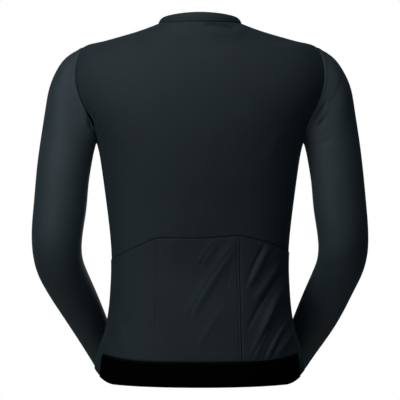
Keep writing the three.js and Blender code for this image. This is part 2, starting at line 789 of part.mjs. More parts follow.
addPiece('back', backGeometry(), jerseyKnit);
addPiece('front_right', frontRightGeometry(), jerseyKnit);
addPiece('front_left', mirrored(frontRightGeometry()), jerseyKnit);
addPiece('sleeve_right', sleeveGeometry(false, 0, ELBOW_ROW), sleeveKnit);
addPiece('sleeve_left', mirrored(sleeveGeometry(true, 0, ELBOW_ROW)), sleeveKnit);
addPiece('forearm_right', sleeveGeometry(false, ELBOW_ROW, SLEEVE_ROWS), sleeveKnit);
addPiece('forearm_left', mirrored(sleeveGeometry(true, ELBOW_ROW, SLEEVE_ROWS)), sleeveKnit);
addPiece('collar', collarGeometry(), jerseyKnit);
addPiece('pocket_left', pocketGeometry('leftSide', 'leftSeam', POCKET_GRID.left), jerseyKnit);
addPiece('pocket_centre', pocketGeometry('leftSeam', 'rightSeam', POCKET_GRID.centre), jerseyKnit);
addPiece('pocket_right', pocketGeometry('rightSeam', 'rightSide', POCKET_GRID.right), jerseyKnit);
addPiece('hem_gripper', gripperGeometry(), gripperElastic);
addPiece('zip_tape', tapeGeometry(), zipTape);

// The slider stands near the top of the collar, square to the tape.
const sliderSeat = new THREE.Group();
const seatPoint = collarPoint(Math.PI / 2, SLIDER_HEIGHT);
const upTheZip = collarPoint(Math.PI / 2, 0.9).sub(collarPoint(Math.PI / 2, 0.5)).normalize();
sliderSeat.position.copy(seatPoint);
sliderSeat.rotation.x = Math.atan2(-upTheZip.y, upTheZip.z);
jersey.add(sliderSeat);
addPiece('zip_slider', sliderGeometry(wasm), zipMetal, sliderSeat);
const pull = addPiece('zip_pull', pullGeometry(), zipMetal, sliderSeat);
pull.position.set(0, PULL.pivotY, BRIDGE.centre);

export default jersey;
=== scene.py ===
# %% [markdown]
# # A long-sleeved cycling jersey, seen from behind
#
# A close-fitting jersey of dark knit, filled out as it is worn, with nobody in it. The file builds
# its looks round a CAD model that gives every size and place. Blender's unit is the metre. The
# tables below are in millimetres, as a pattern cutter would write them, and are turned to metres
# only where a mesh is made. +Z is up, the back with its pockets faces -Y, and the wearer's right
# hand is at +X. The origin lies between the two points where the shoulder seams meet the collar.

# %% Load the CAD model
import math

import bmesh
import bpy
import numpy as np
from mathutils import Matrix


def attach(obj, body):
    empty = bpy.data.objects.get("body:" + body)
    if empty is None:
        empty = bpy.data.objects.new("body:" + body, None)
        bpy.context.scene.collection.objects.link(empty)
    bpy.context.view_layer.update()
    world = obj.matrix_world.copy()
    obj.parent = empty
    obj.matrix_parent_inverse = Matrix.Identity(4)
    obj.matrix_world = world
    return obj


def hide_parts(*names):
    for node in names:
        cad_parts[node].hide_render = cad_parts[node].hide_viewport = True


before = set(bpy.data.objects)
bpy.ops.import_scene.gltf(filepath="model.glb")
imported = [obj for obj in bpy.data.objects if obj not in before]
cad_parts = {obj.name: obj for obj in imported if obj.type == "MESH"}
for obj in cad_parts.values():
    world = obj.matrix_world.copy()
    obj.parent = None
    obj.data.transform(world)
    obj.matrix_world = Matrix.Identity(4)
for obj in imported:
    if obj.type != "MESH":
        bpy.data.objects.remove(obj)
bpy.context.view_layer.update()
MM = 0.001

# %% [markdown]
# ## Camera, floor and light
#
# The photo is a product picture on white, taken level and from far off. A long lens from 3.4 m
# gives the same nearly flat view, and the field is 720 mm wide at the garment's middle. The floor
# is a pale sheet where the wearer would stand, 1.42 m below the shoulders. White surroundings
# could light the cloth as well, but then dark knit goes grey all over, so the world is white only
# to the camera and dim as a light, and the floor is no wider than it must be.

# %% Camera
CAMERA_DISTANCE = 3.4
CAMERA_HEIGHT = -0.3168
FIELD_WIDTH = 0.72
SENSOR = 36.0

scene = bpy.context.scene
camera_data = bpy.data.cameras.new("photo_camera")
camera_data.sensor_width = SENSOR
camera_data.lens = SENSOR * CAMERA_DISTANCE / FIELD_WIDTH
camera = bpy.data.objects.new("photo_camera", camera_data)
camera.location = (0, -CAMERA_DISTANCE, CAMERA_HEIGHT)
camera.rotation_euler = (math.radians(90), 0, 0)
scene.collection.objects.link(camera)
scene.camera = camera
scene.view_settings.view_transform = "Standard"
print("lens:", round(camera_data.lens), "mm on a", SENSOR, "mm sensor")

# %% [markdown]
# Every material below is built from nodes. One function turns the sRGB hex colours that a picture
# program shows into the linear values that a renderer works in, and one adds a node with its
# settings, numbers and links, so a material reads as a list of what the real one is made of.

# %% Colours and nodes
def linear(hex_colour):
    """sRGB hex to linear: a short straight part near black, and a power of 2.4 above it."""
    shares = [int(hex_colour[i:i + 2], 16) / 255 for i in (1, 3, 5)]
    return [s / 12.92 if s <= 0.04045 else ((s + 0.055) / 1.055) ** 2.4 for s in shares] + [1.0]


def add_node(tree, kind, inputs=None, **settings):
    node = tree.nodes.new(kind)
    for name, value in settings.items():
        setattr(node, name, value)
    for socket, value in (inputs or {}).items():
        if isinstance(value, bpy.types.NodeSocket):
            tree.links.new(value, node.inputs[socket])
        else:
            node.inputs[socket].default_value = value
    return node


def new_material(name):
    """An empty node material with its output node."""
    material = bpy.data.materials.new(name)
    material.use_nodes = True
    material.node_tree.nodes.clear()
    output = add_node(material.node_tree, "ShaderNodeOutputMaterial")
    return material, material.node_tree, output


def colour_between(tree, share, dark, light):
    """A colour between two hex colours, by a share that another node gives."""
    mix = add_node(tree, "ShaderNodeMix", {0: share, 6: linear(dark), 7: linear(light)}, data_type="RGBA")
    return mix.outputs[2]


def object_noise(tree, scale, detail, roughness=0.5):
    """Noise that stays with the object. The scale is in lumps a metre."""
    place = add_node(tree, "ShaderNodeTexCoord")
    return add_node(tree, "ShaderNodeTexNoise", {"Vector": place.outputs["Object"], "Scale": scale,
                                                 "Detail": detail, "Roughness": roughness}).outputs[0]


print("white is", [round(v, 3) for v in linear("#ffffff")])

# %% Floor and world
FLOOR_HEIGHT = -1.42
FLOOR_SIZE = 2.6

# Matt white paint on board: it spreads light evenly and has no gloss.
paint, tree, output = new_material("matt_white_paint")
mottle = add_node(tree, "ShaderNodeTexNoise", {"Scale": 3.0, "Detail": 2.0})
tone = colour_between(tree, mottle.outputs[0], "#f6f5f3", "#fbfaf9")
board = add_node(tree, "ShaderNodeBsdfPrincipled", {"Base Color": tone, "Roughness": 0.9,
                                                    "Specular IOR Level": 0.1})
tree.links.new(board.outputs[0], output.inputs["Surface"])

half = FLOOR_SIZE / 2
floor_mesh = bpy.data.meshes.new("floor")
floor_mesh.from_pydata([(-half, -half, FLOOR_HEIGHT), (half, -half, FLOOR_HEIGHT),
                        (half, half, FLOOR_HEIGHT), (-half, half, FLOOR_HEIGHT)], [], [(0, 1, 2, 3)])
floor = bpy.data.objects.new("floor", floor_mesh)
floor_mesh.materials.append(paint)
scene.collection.objects.link(floor)

WORLD_SEEN = 1.0
WORLD_LIGHT = 0.012
world = bpy.data.worlds.new("white_studio")
world.use_nodes = True
world.node_tree.nodes.clear()
tree = world.node_tree
seen = add_node(tree, "ShaderNodeBackground", {"Color": linear("#ffffff"), "Strength": WORLD_SEEN})
glow = add_node(tree, "ShaderNodeBackground", {"Color": linear("#eef3fb"), "Strength": WORLD_LIGHT})
ray = add_node(tree, "ShaderNodeLightPath")
either = add_node(tree, "ShaderNodeMixShader",
                  {0: ray.outputs["Is Camera Ray"], 1: glow.outputs[0], 2: seen.outputs[0]})
add_node(tree, "ShaderNodeOutputWorld", {"Surface": either.outputs[0]})
scene.world = world

# %% [markdown]
# The light in the photo is soft and comes from the upper left, close to the garment: the left
# sleeve and the shoulders are the brightest parts, and the right side of the back falls away to
# near black between the arm and the body. A near softbox gives this fall-off, which a distant
# sun would not. Others stand at the left side, by the left elbow, overhead, low at the left and
# at the right. A large one faces the wearer's front from far off. It is kept low, so that from
# behind the inner edges of the sleeves stay dark.

# %% Lights
TARGET = np.array([0, 0, -0.3])


def add_softbox(name, place, size, power):
    """A square area light that looks at the garment's middle and stays out of the picture."""
    data = bpy.data.lights.new(name, "AREA")
    data.shape = "SQUARE"
    data.size, data.energy = size, power
    lamp = bpy.data.objects.new(name, data)
    lamp.location = place
    away = np.array(place) - TARGET
    tilt = math.acos(away[2] / np.linalg.norm(away))
    lamp.rotation_euler = (tilt, 0, math.atan2(away[1], away[0]) + math.pi / 2)
    lamp.visible_camera = False
    scene.collection.objects.link(lamp)


add_softbox("key_softbox", (-0.45, -0.6, 0.9), 0.5, 4.3)
add_softbox("side_softbox", (-0.75, -0.65, 0.2), 0.5, 2.6)
add_softbox("elbow_softbox", (-0.7, -0.7, -0.2), 0.5, 1.6)
add_softbox("top_softbox", (0, -0.4, 1.1), 0.6, 4.4)
add_softbox("low_softbox", (-0.45, -1.2, -0.1), 0.5, 2.2)
add_softbox("right_softbox", (0.6, -1.2, 0.3), 0.8, 2.7)
add_softbox("front_softbox", (0.2, 1.6, -0.3), 0.9, 4.0)

# %% [markdown]
# ## The body form
#
# The panels of a jersey are cut flat, but on a body they all lie on one smooth form. That form is
# a stack of rings from hem to neckline, each with its height, its half width, and its depth to the
# back and front. A natural cubic spline runs through the rings, so the cloth flows from chest to
# waist to hip with no flat facets. A point on it is given by an angle, 0 at the wearer's right and
# negative towards the back, and by a run, the distance up the side from the hem. Every panel,
# pocket and stitch below is placed by these two numbers, so all of them lie on each other.

# %% Splines and rings
def spline(knots, values):
    """A natural cubic spline through rows of values. Between two knots it is the straight line
    plus a cubic, and the cubic's bends are solved so that the slope runs on through each knot."""
    knots, values = np.asarray(knots, float), np.asarray(values, float)
    gap = np.diff(knots)
    slope = np.diff(values, axis=0) / gap[:, None]
    inside = np.arange(1, len(knots) - 1)
    system = np.eye(len(knots))
    system[inside, inside - 1] = gap[:-1] / 6
    system[inside, inside] = (gap[:-1] + gap[1:]) / 3
    system[inside, inside + 1] = gap[1:] / 6
    turns = np.zeros_like(values)
    turns[1:-1] = slope[1:] - slope[:-1]
    bend = np.linalg.solve(system, turns)

    def at(place):
        place = np.asarray(place, float)
        i = np.clip(np.searchsorted(knots, place, side="right") - 1, 0, len(knots) - 2)
        width = gap[i][..., None]
        low = (knots[i + 1] - place)[..., None] / width
        high = (place - knots[i])[..., None] / width
        curve = (low ** 3 - low) * bend[i] + (high ** 3 - high) * bend[i + 1]
        return low * values[i] + high * values[i + 1] + curve * width ** 2 / 6

    return at


def smooth(share):
    """0 below 0, 1 above 1, and an S curve between."""
    s = np.clip(share, 0, 1)
    return s * s * (3 - 2 * s)


# Columns: height at the side, rise at centre back, rise at centre front, half width, depth to the
# back, depth to the front, fullness of the corners
BODY_RINGS = np.array([
    [-638, -3, 42, 190, 118, 104, 0.22],
    [-606, -2, 32, 185.5, 115, 103, 0.22],
    [-574, -1, 20, 177, 110, 102, 0.21],
    [-533, 0, 8, 167.5, 102, 101, 0.2],
    [-482, 0, 0, 161.5, 93, 100, 0.2],
    [-425, 0, 0, 159, 88, 100, 0.2],
    [-367, 0, 0, 163, 90, 103, 0.2],
    [-310, 0, 0, 170, 97, 109, 0.21],
    [-252, 0, 0, 178, 106, 116, 0.22],
    [-213, -1, -3, 186.5, 111, 119, 0.22],
    [-180, -2, -10, 203, 113, 118.5, 0.21],
    [-146, -4, -21, 223, 113, 114, 0.2],
    [-100, -11, -37, 234.5, 109, 105, 0.17],
    [-62, -14, -50, 225, 100, 93, 0.1],
    [-40.5, -12, -53, 207, 91.5, 81, 0.02],
    [-33.5, -10, -55, 184, 87, 76, -0.05],
    [-26.5, -8, -57, 157, 81.5, 71, -0.08],
    [-12, -3, -60, 107, 71, 63, -0.06],
    [0, 0, -62, 75, 60, 57, 0],
])
body_runs = np.r_[0, np.cumsum(np.hypot(np.diff(BODY_RINGS[:, 0]), np.diff(BODY_RINGS[:, 3])))]
body_length = body_runs[-1]
body_at = spline(body_runs, BODY_RINGS)


def body_point(angle, run):
    """Half width times the cosine, depth times the sine, and the corners filled out by the square
    of the cosine. The height gains the ring's rise towards the centre back or centre front."""
    angle, run = np.broadcast_arrays(angle, run)
    z, back_rise, front_rise, half_width, back, front, fullness = np.moveaxis(body_at(run), -1, 0)
    across, forward = np.cos(angle), np.sin(angle)
    depth = (back + front) / 2 + (front - back) / 2 * forward
    rise = np.where(forward < 0, back_rise, front_rise)
    y = depth * forward * (1 + fullness * across ** 2)
    return np.stack([half_width * across, y, z + rise * forward ** 2], -1)


def outward_of(surface, first, second, first_step, second_step):
    """The cross product of the two slopes of a surface, made one long."""
    one = surface(first + first_step, second) - surface(first - first_step, second)
    two = surface(first, second + second_step) - surface(first, second - second_step)
    normal = np.cross(one, two)
    return normal / np.linalg.norm(normal, axis=-1, keepdims=True)


def body_outward(angle, run):
    return outward_of(body_point, angle, np.clip(run, 0.5, body_length - 0.5), 0.004, 0.5)


dense_runs = np.linspace(0, body_length, 4000)
dense_heights = body_at(dense_runs)[:, 0]


def run_at_height(z):
    return np.interp(z, dense_heights, dense_runs)


def arc_per_radian(angle, run):
    """How many millimetres of cloth one radian spans at a place on the form."""
    step = 0.01
    ends = body_point(angle + step, run) - body_point(angle - step, run)
    return np.linalg.norm(ends, axis=-1) / (2 * step)


print("body form:", round(body_length), "mm up the side")

# %% [markdown]
# ## Where the seams run
#
# The side seams start well towards the back at the hem and reach the side under the arm, so the
# fronts wrap round. The armhole is an oval on the form. Its height follows the cosine of a turn
# and its reach to the back and front follows the sine, a little squared off. One formula then
# gives a panel's side edge at any run: side seam, armhole and shoulder seam follow each other.

# %% Panel edges
UNDERARM = -213
SHOULDER_TIP = -40.5
GRIPPER_TOP = -598
BACK_REACH = math.radians(24)
FRONT_REACH = math.radians(29)
SQUARENESS = 0.25
SHOULDER_SEAM = math.radians(5)
# Columns: height, angle in degrees
SIDE_SEAM = np.array([[-638, -20], [-596, -19], [-533, -8], [-425, -3], [-213, 0]])

underarm_run = run_at_height(UNDERARM)
tip_run = run_at_height(SHOULDER_TIP)
gripper_run = run_at_height(GRIPPER_TOP)


def armhole_place(turn):
    """Angle and run on the armhole. The turn is 0 at the shoulder tip and half a circle below."""
    height = (1 + np.cos(turn)) / 2
    sideways = np.sin(turn) * (1 + SQUARENESS * np.cos(turn) ** 2)
    reach = np.where(sideways > 0, BACK_REACH, FRONT_REACH)
    return SHOULDER_SEAM * height - sideways * reach, underarm_run + (tip_run - underarm_run) * height


def side_seam_angle(run):
    return np.radians(np.interp(body_at(run)[..., 0], SIDE_SEAM[:, 0], SIDE_SEAM[:, 1]))


def panel_edge(run, side):
    """The angle of a panel's outer edge. Side is -1 for the back and 1 for a front."""
    height = np.clip((run - underarm_run) / (tip_run - underarm_run), 0, 1)
    turn = np.arccos(2 * height - 1)
    sideways = np.sin(turn) * (1 + SQUARENESS * np.cos(turn) ** 2)
    reach = BACK_REACH if side < 0 else FRONT_REACH
    return side_seam_angle(run) + SHOULDER_SEAM * height + side * sideways * reach


# Columns: x, height of the pockets' open edge
POCKET_MOUTH = np.array([
    [-158, -424], [-122, -406], [-88, -390], [-72, -385], [0, -386],
    [66, -381.5], [78, -383], [105, -389], [130, -397], [158, -410],
])


def mouth_height(x):
    return np.interp(x, POCKET_MOUTH[:, 0], POCKET_MOUTH[:, 1])


def hem_curve(points, drop=0.0):
    """The hem's corners and the ends of the band's top edge rise a little, and the middle of the
    hem hangs slightly lower."""
    x, y, z = np.moveaxis(points, -1, 0)
    low = smooth((-598 - z) / 40)
    top_rise = 8 * np.clip((np.abs(x) - 85) / 87, 0, 1.1) ** 2 * smooth((-540 - z) / 58)
    hem_rise = 13 * np.clip((np.abs(x) - 150) / 32, 0, 1.2) ** 2 - drop
    moved = points.copy()
    moved[..., 2] += (top_rise * (1 - low) + hem_rise * low) * smooth((60 - y) / 60)
    return moved


# Rows of cloth every few millimetres, spaced by the turn along the armhole, whose ends are round.
# The back has finer rows where the pockets' open edge crosses it.
ROW_STEP = 3.6
armhole_rows = underarm_run + (tip_run - underarm_run) * (1 + np.cos(np.linspace(np.pi, 0, 80))) / 2
panel_rows = np.unique(np.round(np.r_[np.arange(0, underarm_run, ROW_STEP), armhole_rows,
                                      np.arange(tip_run, body_length, ROW_STEP)], 3))
mouth_low, mouth_high = run_at_height(-428), run_at_height(-376)
back_rows = panel_rows[(panel_rows > gripper_run) & ((panel_rows < mouth_low) | (panel_rows > mouth_high))]
back_rows = np.sort(np.r_[gripper_run, back_rows, np.arange(mouth_low, mouth_high, 1.1)])
print("underarm, shoulder tip and gripper seam at runs", *(round(float(r)) for r in
                                                         (underarm_run, tip_run, gripper_run)))

# %% [markdown]
# ## Cloth as a closed wall
#
# Knit is thin, but it isn't a sheet with no thickness: its edges catch light and its inside shows
# at the neck, hem and cuffs. Solidify could thicken a flat sheet. Here both sides are worked out
# instead, because the edges then get their real form. At a sewn seam the cloth rolls inwards and
# runs on as a short seam allowance, so a seam reads as a fine groove with nothing to see through.
# At an open edge it rolls over. Each edge is a small table of points across it.

# %% Edges of the cloth
THICK = 0.9
# Columns: from the seam line, depth of the outer side, and the same two for the inner side
SEAM_EDGE = np.array([
    [0.02, 3.2, 1.05, 3.2],
    [0.04, 1.5, 1.05, 1.7],
    [0.16, 0.6, 1.06, 1.3],
    [0.5, 0.25, 1.15, 1.12],
    [1.0, 0.08, 1.45, 1.0],
    [1.8, 0.02, 2.1, 0.92],
    [2.8, 0, 2.8, 0.9],
])
OPEN_EDGE = np.array([
    [0, 0.4, 0, 0.5],
    [0.12, 0.18, 0.12, 0.72],
    [0.45, 0.04, 0.45, 0.86],
    [1.0, 0, 1.0, 0.9],
    [2.0, 0, 2.0, 0.9],
])
# A pocket's edge is sewn flat to the panel below it and may not sink into it.
PRESSED_EDGE = np.array([
    [0.15, 1.25, 0.3, 1.55],
    [0.3, 1.05, 0.4, 1.57],
    [0.8, 0.72, 0.9, 1.5],
    [1.6, 0.36, 1.7, 1.25],
    [2.8, 0.1, 2.8, 1.0],
    [4.0, 0, 4.0, 0.9],
])
SIDE_EDGE = PRESSED_EDGE * [1, 0.6, 1, 0.76] + [0, 0, 0, 0.2] * (PRESSED_EDGE[:, 3:] < 1)
# A seam between two pockets that hardly shows, and one beside a second row of stitches, which
# draw the cloth down into a narrow groove 4.5 mm away.
SOFT_EDGE = np.array([
    [0.03, 0.26, 0.3, 1.5],
    [0.25, 0.14, 0.4, 1.45],
    [0.8, 0.05, 0.9, 1.3],
    [1.8, 0.01, 1.9, 1.05],
    [4.0, 0, 4.0, 0.9],
])
STITCHED_EDGE = np.array([
    [0.15, 1.3, 0.3, 1.6],
    [0.3, 1.1, 0.4, 1.6],
    [0.8, 0.5, 0.9, 1.5],
    [1.5, 0.12, 1.6, 1.2],
    [2.4, 0, 2.5, 1.0],
    [3.4, 0.02, 3.4, 0.92],
    [4.1, 0.55, 4.1, 1.3],
    [4.5, 0.7, 4.5, 1.5],
    [4.9, 0.55, 4.9, 1.3],
    [5.6, 0.02, 5.6, 0.92],
    [7.0, 0, 7.0, 0.9],
])
# The elastic's own open edge, and its top edge, which runs on behind the panel that it is sewn to.
ELASTIC_EDGE = OPEN_EDGE * [1, 1.4, 1, 1.45]
ELASTIC_TOP = np.array([
    [-4.0, 1.6, -4.0, 2.6],
    [-0.5, 1.5, -0.2, 2.5],
    [0.15, 1.25, 0.9, 2.3],
    [0.3, 0.6, 1.6, 1.9],
    [0.7, 0.2, 2.2, 1.55],
    [1.4, 0.04, 2.8, 1.38],
    [2.6, 0, 3.4, 1.3],
])


def ladder(start, end, places, low, high, thick=THICK):
    """Places along one way across a piece: a low edge, the places inside, and a high edge. Gives
    the outer places and depths and the inner places and depths."""
    room = 0.7
    inside = places[(places > start + low[-1, 0] + room) & (places < end - high[-1, 0] - room)]
    still = np.zeros(len(inside))
    return (np.r_[start + low[:, 0], inside, end - high[::-1, 0]],
            np.r_[low[:, 1], still, high[::-1, 1]],
            np.r_[start + low[:, 2], inside, end - high[::-1, 2]],
            np.r_[low[:, 3], still + thick, high[::-1, 3]])


def wall_faces(rows, columns, is_tube, flip):
    """Four-sided faces for the outer wall, the inner wall and the rims that join them, as places in
    a grid whose last column, on a tube, is the first one again."""
    index = np.arange(rows * columns).reshape(rows, columns)
    under = rows * columns
    front = np.stack([index[:-1, :-1], index[:-1, 1:], index[1:, 1:], index[1:, :-1]], -1).reshape(-1, 4)
    parts = [front, front[:, ::-1] + under]
    rims = [index[0, ::-1], index[-1]]
    if not is_tube:
        rims += [index[:, 0], index[::-1, -1]]
    for line in rims:
        a, b = line[:-1], line[1:]
        parts.append(np.stack([a, b, b + under, a + under], -1))
    faces = np.concatenate(parts)
    return faces[:, ::-1] if flip else faces


def put_mesh(name, points, faces, material, uv=None, is_smooth=True):
    """Puts points in millimetres and four-sided faces into a mesh and an object at the origin."""
    mesh = bpy.data.meshes.new(name)
    mesh.vertices.add(len(points))
    mesh.vertices.foreach_set("co", (points * MM).astype(np.float32).ravel())
    mesh.loops.add(faces.size)
    mesh.loops.foreach_set("vertex_index", faces.ravel().astype(np.int32))
    mesh.polygons.add(len(faces))
    mesh.polygons.foreach_set("loop_start", np.arange(0, faces.size, 4, dtype=np.int32))
    mesh.polygons.foreach_set("use_smooth", np.full(len(faces), is_smooth))
    if uv is not None:
        layer = mesh.uv_layers.new(name="cloth")
        layer.uv.foreach_set("vector", (uv * MM).astype(np.float32).ravel())
    mesh.update(calc_edges=True)
    mesh.materials.append(material)
    piece = bpy.data.objects.new(name, mesh)
    scene.collection.objects.link(piece)
    return piece


def cloth_wall(name, outer, inner, uv, material, is_tube=False, flip=False):
    """A closed wall between two grids of points. The UV map holds millimetres along the cloth."""
    rows, columns = outer.shape[:2]
    faces = wall_faces(rows, columns, is_tube, flip)
    points = np.concatenate([outer.reshape(-1, 3), inner.reshape(-1, 3)])
    uvs = np.concatenate([uv.reshape(-1, 2)] * 2)[faces]
    if is_tube:
        kept = np.arange(2 * rows * columns).reshape(2 * rows, columns)
        kept[:, -1] = kept[:, 0]
        faces = kept.ravel()[faces]
        used, faces = np.unique(faces, return_inverse=True)
        points, faces = points[used], faces.reshape(-1, 4)
    piece = put_mesh(name, points, faces, material, uvs)
    print(f"{name}: {2 * len(faces)} triangles")
    return piece


def cloth_uv(points, rows, zero):
    """UV in millimetres: across, the length of cloth from the zero column; up, the row's run."""
    steps = np.linalg.norm(np.diff(points, axis=1), axis=-1)
    across = np.concatenate([np.zeros((len(points), 1)), np.cumsum(steps, axis=1)], 1)
    across -= across[:, zero:zero + 1]
    return np.stack([across, np.broadcast_to(rows, across.shape)], -1)


print("a seam groove is", SEAM_EDGE[2, 1], "mm deep where the cloth turns in")

# %% [markdown]
# ## Folds
#
# Simulation could find folds, but the ones in the photo have known places, so each is drawn
# one by one: a line with two ends, a height, a width and a slight bow. Across its line a fold is a
# bell curve, a ridge where the height is above zero and a trough where it is below, and it fades
# out at both ends. Real folds are uneven, so no two rows of a table are alike.

# %% Folds
def folds_at(x, z, table):
    """The sum of all folds at places seen from behind or in front."""
    total = np.zeros(np.shape(x))
    for x0, z0, x1, z1, height, width, bow in table:
        span_x, span_z = x1 - x0, z1 - z0
        length = math.hypot(span_x, span_z)
        along = ((x - x0) * span_x + (z - z0) * span_z) / length ** 2
        aside = ((x - x0) * span_z - (z - z0) * span_x) / length - bow * 4 * along * (1 - along)
        ends = smooth((along + 0.12) / 0.34) * smooth((1.12 - along) / 0.34)
        total += height * np.exp(-(aside / width) ** 2) * ends
    return total


# Columns of every fold table: x and z of one end, x and z of the other, height, width, bow
BACK_FOLDS = [
    [10, -19, 76, -24, 2.8, 8, 1.5],
    [8, -6, 68, -11.5, -5.2, 3.4, -1.5],
    [213, -146, 198.5, -175, -2.8, 2.7, 0.5],
    [201, -148, 195, -170, 1.2, 3.2, 0],
    [190, -172, 180, -196, -1.0, 4, 0],
    [-197.5, -153, -190.5, -187, -2.6, 2.6, 0.5],
    [-187.5, -165, -186.5, -186, -1.8, 2.4, 0],
    [-181, -160, -178, -184, 0.8, 3, 0],
    [-150, -196, -112, -246, 1.0, 9, -3],
    [152, -188, 118, -252, 1.1, 10, 4],
    [-62, -330, 58, -352, 0.8, 22, 8],
    [-20, -262, 90, -290, 0.6, 20, 6],
]
FRONT_FOLDS = [
    [168, -190, 96, -262, 1.8, 10, 5],
    [160, -232, 84, -318, 1.3, 11, -4],
    [150, -330, 60, -392, 1.4, 12, 6],
    [146, -402, 40, -446, 1.6, 12, -5],
    [150, -462, 58, -508, 1.3, 11, 5],
    [30, -96, 92, -150, 1.2, 13, 6],
    [22, -140, 70, -214, 0.9, 12, -4],
    [128, -84, 150, -140, 1.0, 9, 3],
    [14, -532, 60, -574, 1.1, 10, 3],
]
print(len(BACK_FOLDS), "folds on the back,", len(FRONT_FOLDS), "on each front")

# %% [markdown]
# ## Knit
#
# The body is a fine weft knit of polyamide and elastane: matt and a little soft, with rows of
# V-shaped loops. Its colour is a blue-black, and the fuzz of the yarn gives a faint sheen where
# the cloth turns away. Real loops are about 0.5 mm wide, too fine for this picture, so the wales
# are drawn 1.1 mm wide. The loops are only bump: one set of V shapes made from the UV map.

# %% Knit materials
def knit_material(name, dark, light, wale, course, roughness, sheen, sheen_colour, relief):
    """Stocking stitch: inside each wale the courses bend into a V, and a groove parts the wales."""
    material, tree, output = new_material(name)
    uv = add_node(tree, "ShaderNodeUVMap", uv_map="cloth")
    per_metre = (1 / wale / MM, 1 / course / MM, 0)
    scaled = add_node(tree, "ShaderNodeVectorMath", {0: uv.outputs[0], 1: per_metre}, operation="MULTIPLY")
    split = add_node(tree, "ShaderNodeSeparateXYZ", {0: scaled.outputs[0]})
    inside = add_node(tree, "ShaderNodeMath", {0: split.outputs[0]}, operation="FRACT")
    middle = add_node(tree, "ShaderNodeMath", {0: inside.outputs[0], 1: 0.5}, operation="SUBTRACT")
    aside = add_node(tree, "ShaderNodeMath", {0: middle.outputs[0]}, operation="ABSOLUTE")
    bent = add_node(tree, "ShaderNodeMath", {0: aside.outputs[0], 1: 1.3, 2: split.outputs[1]},
                    operation="MULTIPLY_ADD")
    phase = add_node(tree, "ShaderNodeMath", {0: bent.outputs[0], 1: 2 * math.pi}, operation="MULTIPLY")
    loops = add_node(tree, "ShaderNodeMath", {0: phase.outputs[0]}, operation="SINE")
    groove = add_node(tree, "ShaderNodeMath", {0: aside.outputs[0], 1: 6.0}, operation="POWER")
    height = add_node(tree, "ShaderNodeMath", {0: groove.outputs[0], 1: -60.0, 2: loops.outputs[0]},
                      operation="MULTIPLY_ADD")
    cloudy, yarn = object_noise(tree, 9.0, 3.0, 0.55), object_noise(tree, 420.0, 2.0)
    both = add_node(tree, "ShaderNodeMath", {0: cloudy, 1: yarn}, operation="ADD")
    spread = add_node(tree, "ShaderNodeMapRange", {0: both.outputs[0], 1: 0.7, 2: 1.3, 3: 0.0, 4: 1.0})
    colour = colour_between(tree, spread.outputs[0], dark, light)
    bump = add_node(tree, "ShaderNodeBump", {"Strength": relief, "Distance": 0.00012,
                                             "Height": height.outputs[0]})
    cloth = add_node(tree, "ShaderNodeBsdfPrincipled", {
        "Base Color": colour, "Roughness": roughness, "Specular IOR Level": 0.22,
        "Sheen Weight": sheen, "Sheen Roughness": 0.45, "Sheen Tint": linear(sheen_colour),
        "Normal": bump.outputs[0]})
    tree.links.new(cloth.outputs[0], output.inputs["Surface"])
    return material


jersey_knit = knit_material("polyamide_knit", "#151f23", "#1b272c", 1.1, 0.9, 0.72, 0.1, "#8aabbd", 0.35)
sleeve_knit = knit_material("smooth_warp_knit", "#1f2a2f", "#253137", 0.9, 0.7, 0.62, 0.14, "#97b3c1", 0.25)

# Covered elastic: black, dull and ribbed lengthways, drawn 1.6 mm from rib to rib.
elastic, tree, output = new_material("black_ribbed_elastic")
uv = add_node(tree, "ShaderNodeUVMap", uv_map="cloth")
scaled = add_node(tree, "ShaderNodeVectorMath", {0: uv.outputs[0], 1: (1 / 0.8 / MM, 1 / 1.6 / MM, 0)},
                  operation="MULTIPLY")
split = add_node(tree, "ShaderNodeSeparateXYZ", {0: scaled.outputs[0]})
turn = add_node(tree, "ShaderNodeMath", {0: split.outputs[1], 1: 2 * math.pi}, operation="MULTIPLY")
rib = add_node(tree, "ShaderNodeMath", {0: turn.outputs[0]}, operation="SINE")
thread_turn = add_node(tree, "ShaderNodeMath", {0: split.outputs[0], 1: 2 * math.pi}, operation="MULTIPLY")
thread_wave = add_node(tree, "ShaderNodeMath", {0: thread_turn.outputs[0]}, operation="SINE")
relief = add_node(tree, "ShaderNodeMath", {0: thread_wave.outputs[0], 1: 0.3, 2: rib.outputs[0]},
                  operation="MULTIPLY_ADD")
# The elastic's colour is a touch darker in the hollows between ribs and threads, and lighter on their tops:
# painted shade.
painted_rib_shade = add_node(tree, "ShaderNodeMapRange", {0: relief.outputs[0], 1: -1.3, 2: 1.3, 3: 0.0, 4: 1.0})
black = colour_between(tree, painted_rib_shade.outputs[0], "#000001", "#030305")
bump = add_node(tree, "ShaderNodeBump", {"Strength": 0.4, "Distance": 0.0002, "Height": relief.outputs[0]})
dull = add_node(tree, "ShaderNodeBsdfPrincipled", {"Base Color": black, "Roughness": 0.95,
                                                   "Specular IOR Level": 0.02, "Normal": bump.outputs[0]})
tree.links.new(dull.outputs[0], output.inputs["Surface"])
print("knits:", jersey_knit.name, sleeve_knit.name, "and", elastic.name)

# %% [markdown]
# ## Back and fronts
#
# Three panels carry the rest. Each is a patch of the body form between two edges. The columns near
# an edge follow it most closely, and those at the centre run straight up, so the mesh stays even
# past the armholes. Cloth points are the form's points moved along the outward direction, by the
# folds less the depth of the edge tables.

# %% Body panels
EDGE_CROWDING = 2.5


def back_columns(low, high, share):
    """From edge to edge, share -1 to 1: a straight spread of half a circle, drawn in by the edge."""
    drawn = np.sign(share) * np.abs(share) ** EDGE_CROWDING
    return -np.pi / 2 + np.pi / 2 * share + drawn * high


def front_columns(low, high, share):
    """From the side to the zip, share 0 to 1, with the same drawing in at the side."""
    left = 1 - share
    return np.pi / 2 - (np.pi / 2 * left - low * left ** EDGE_CROWDING + (np.pi / 2 - high) * share)


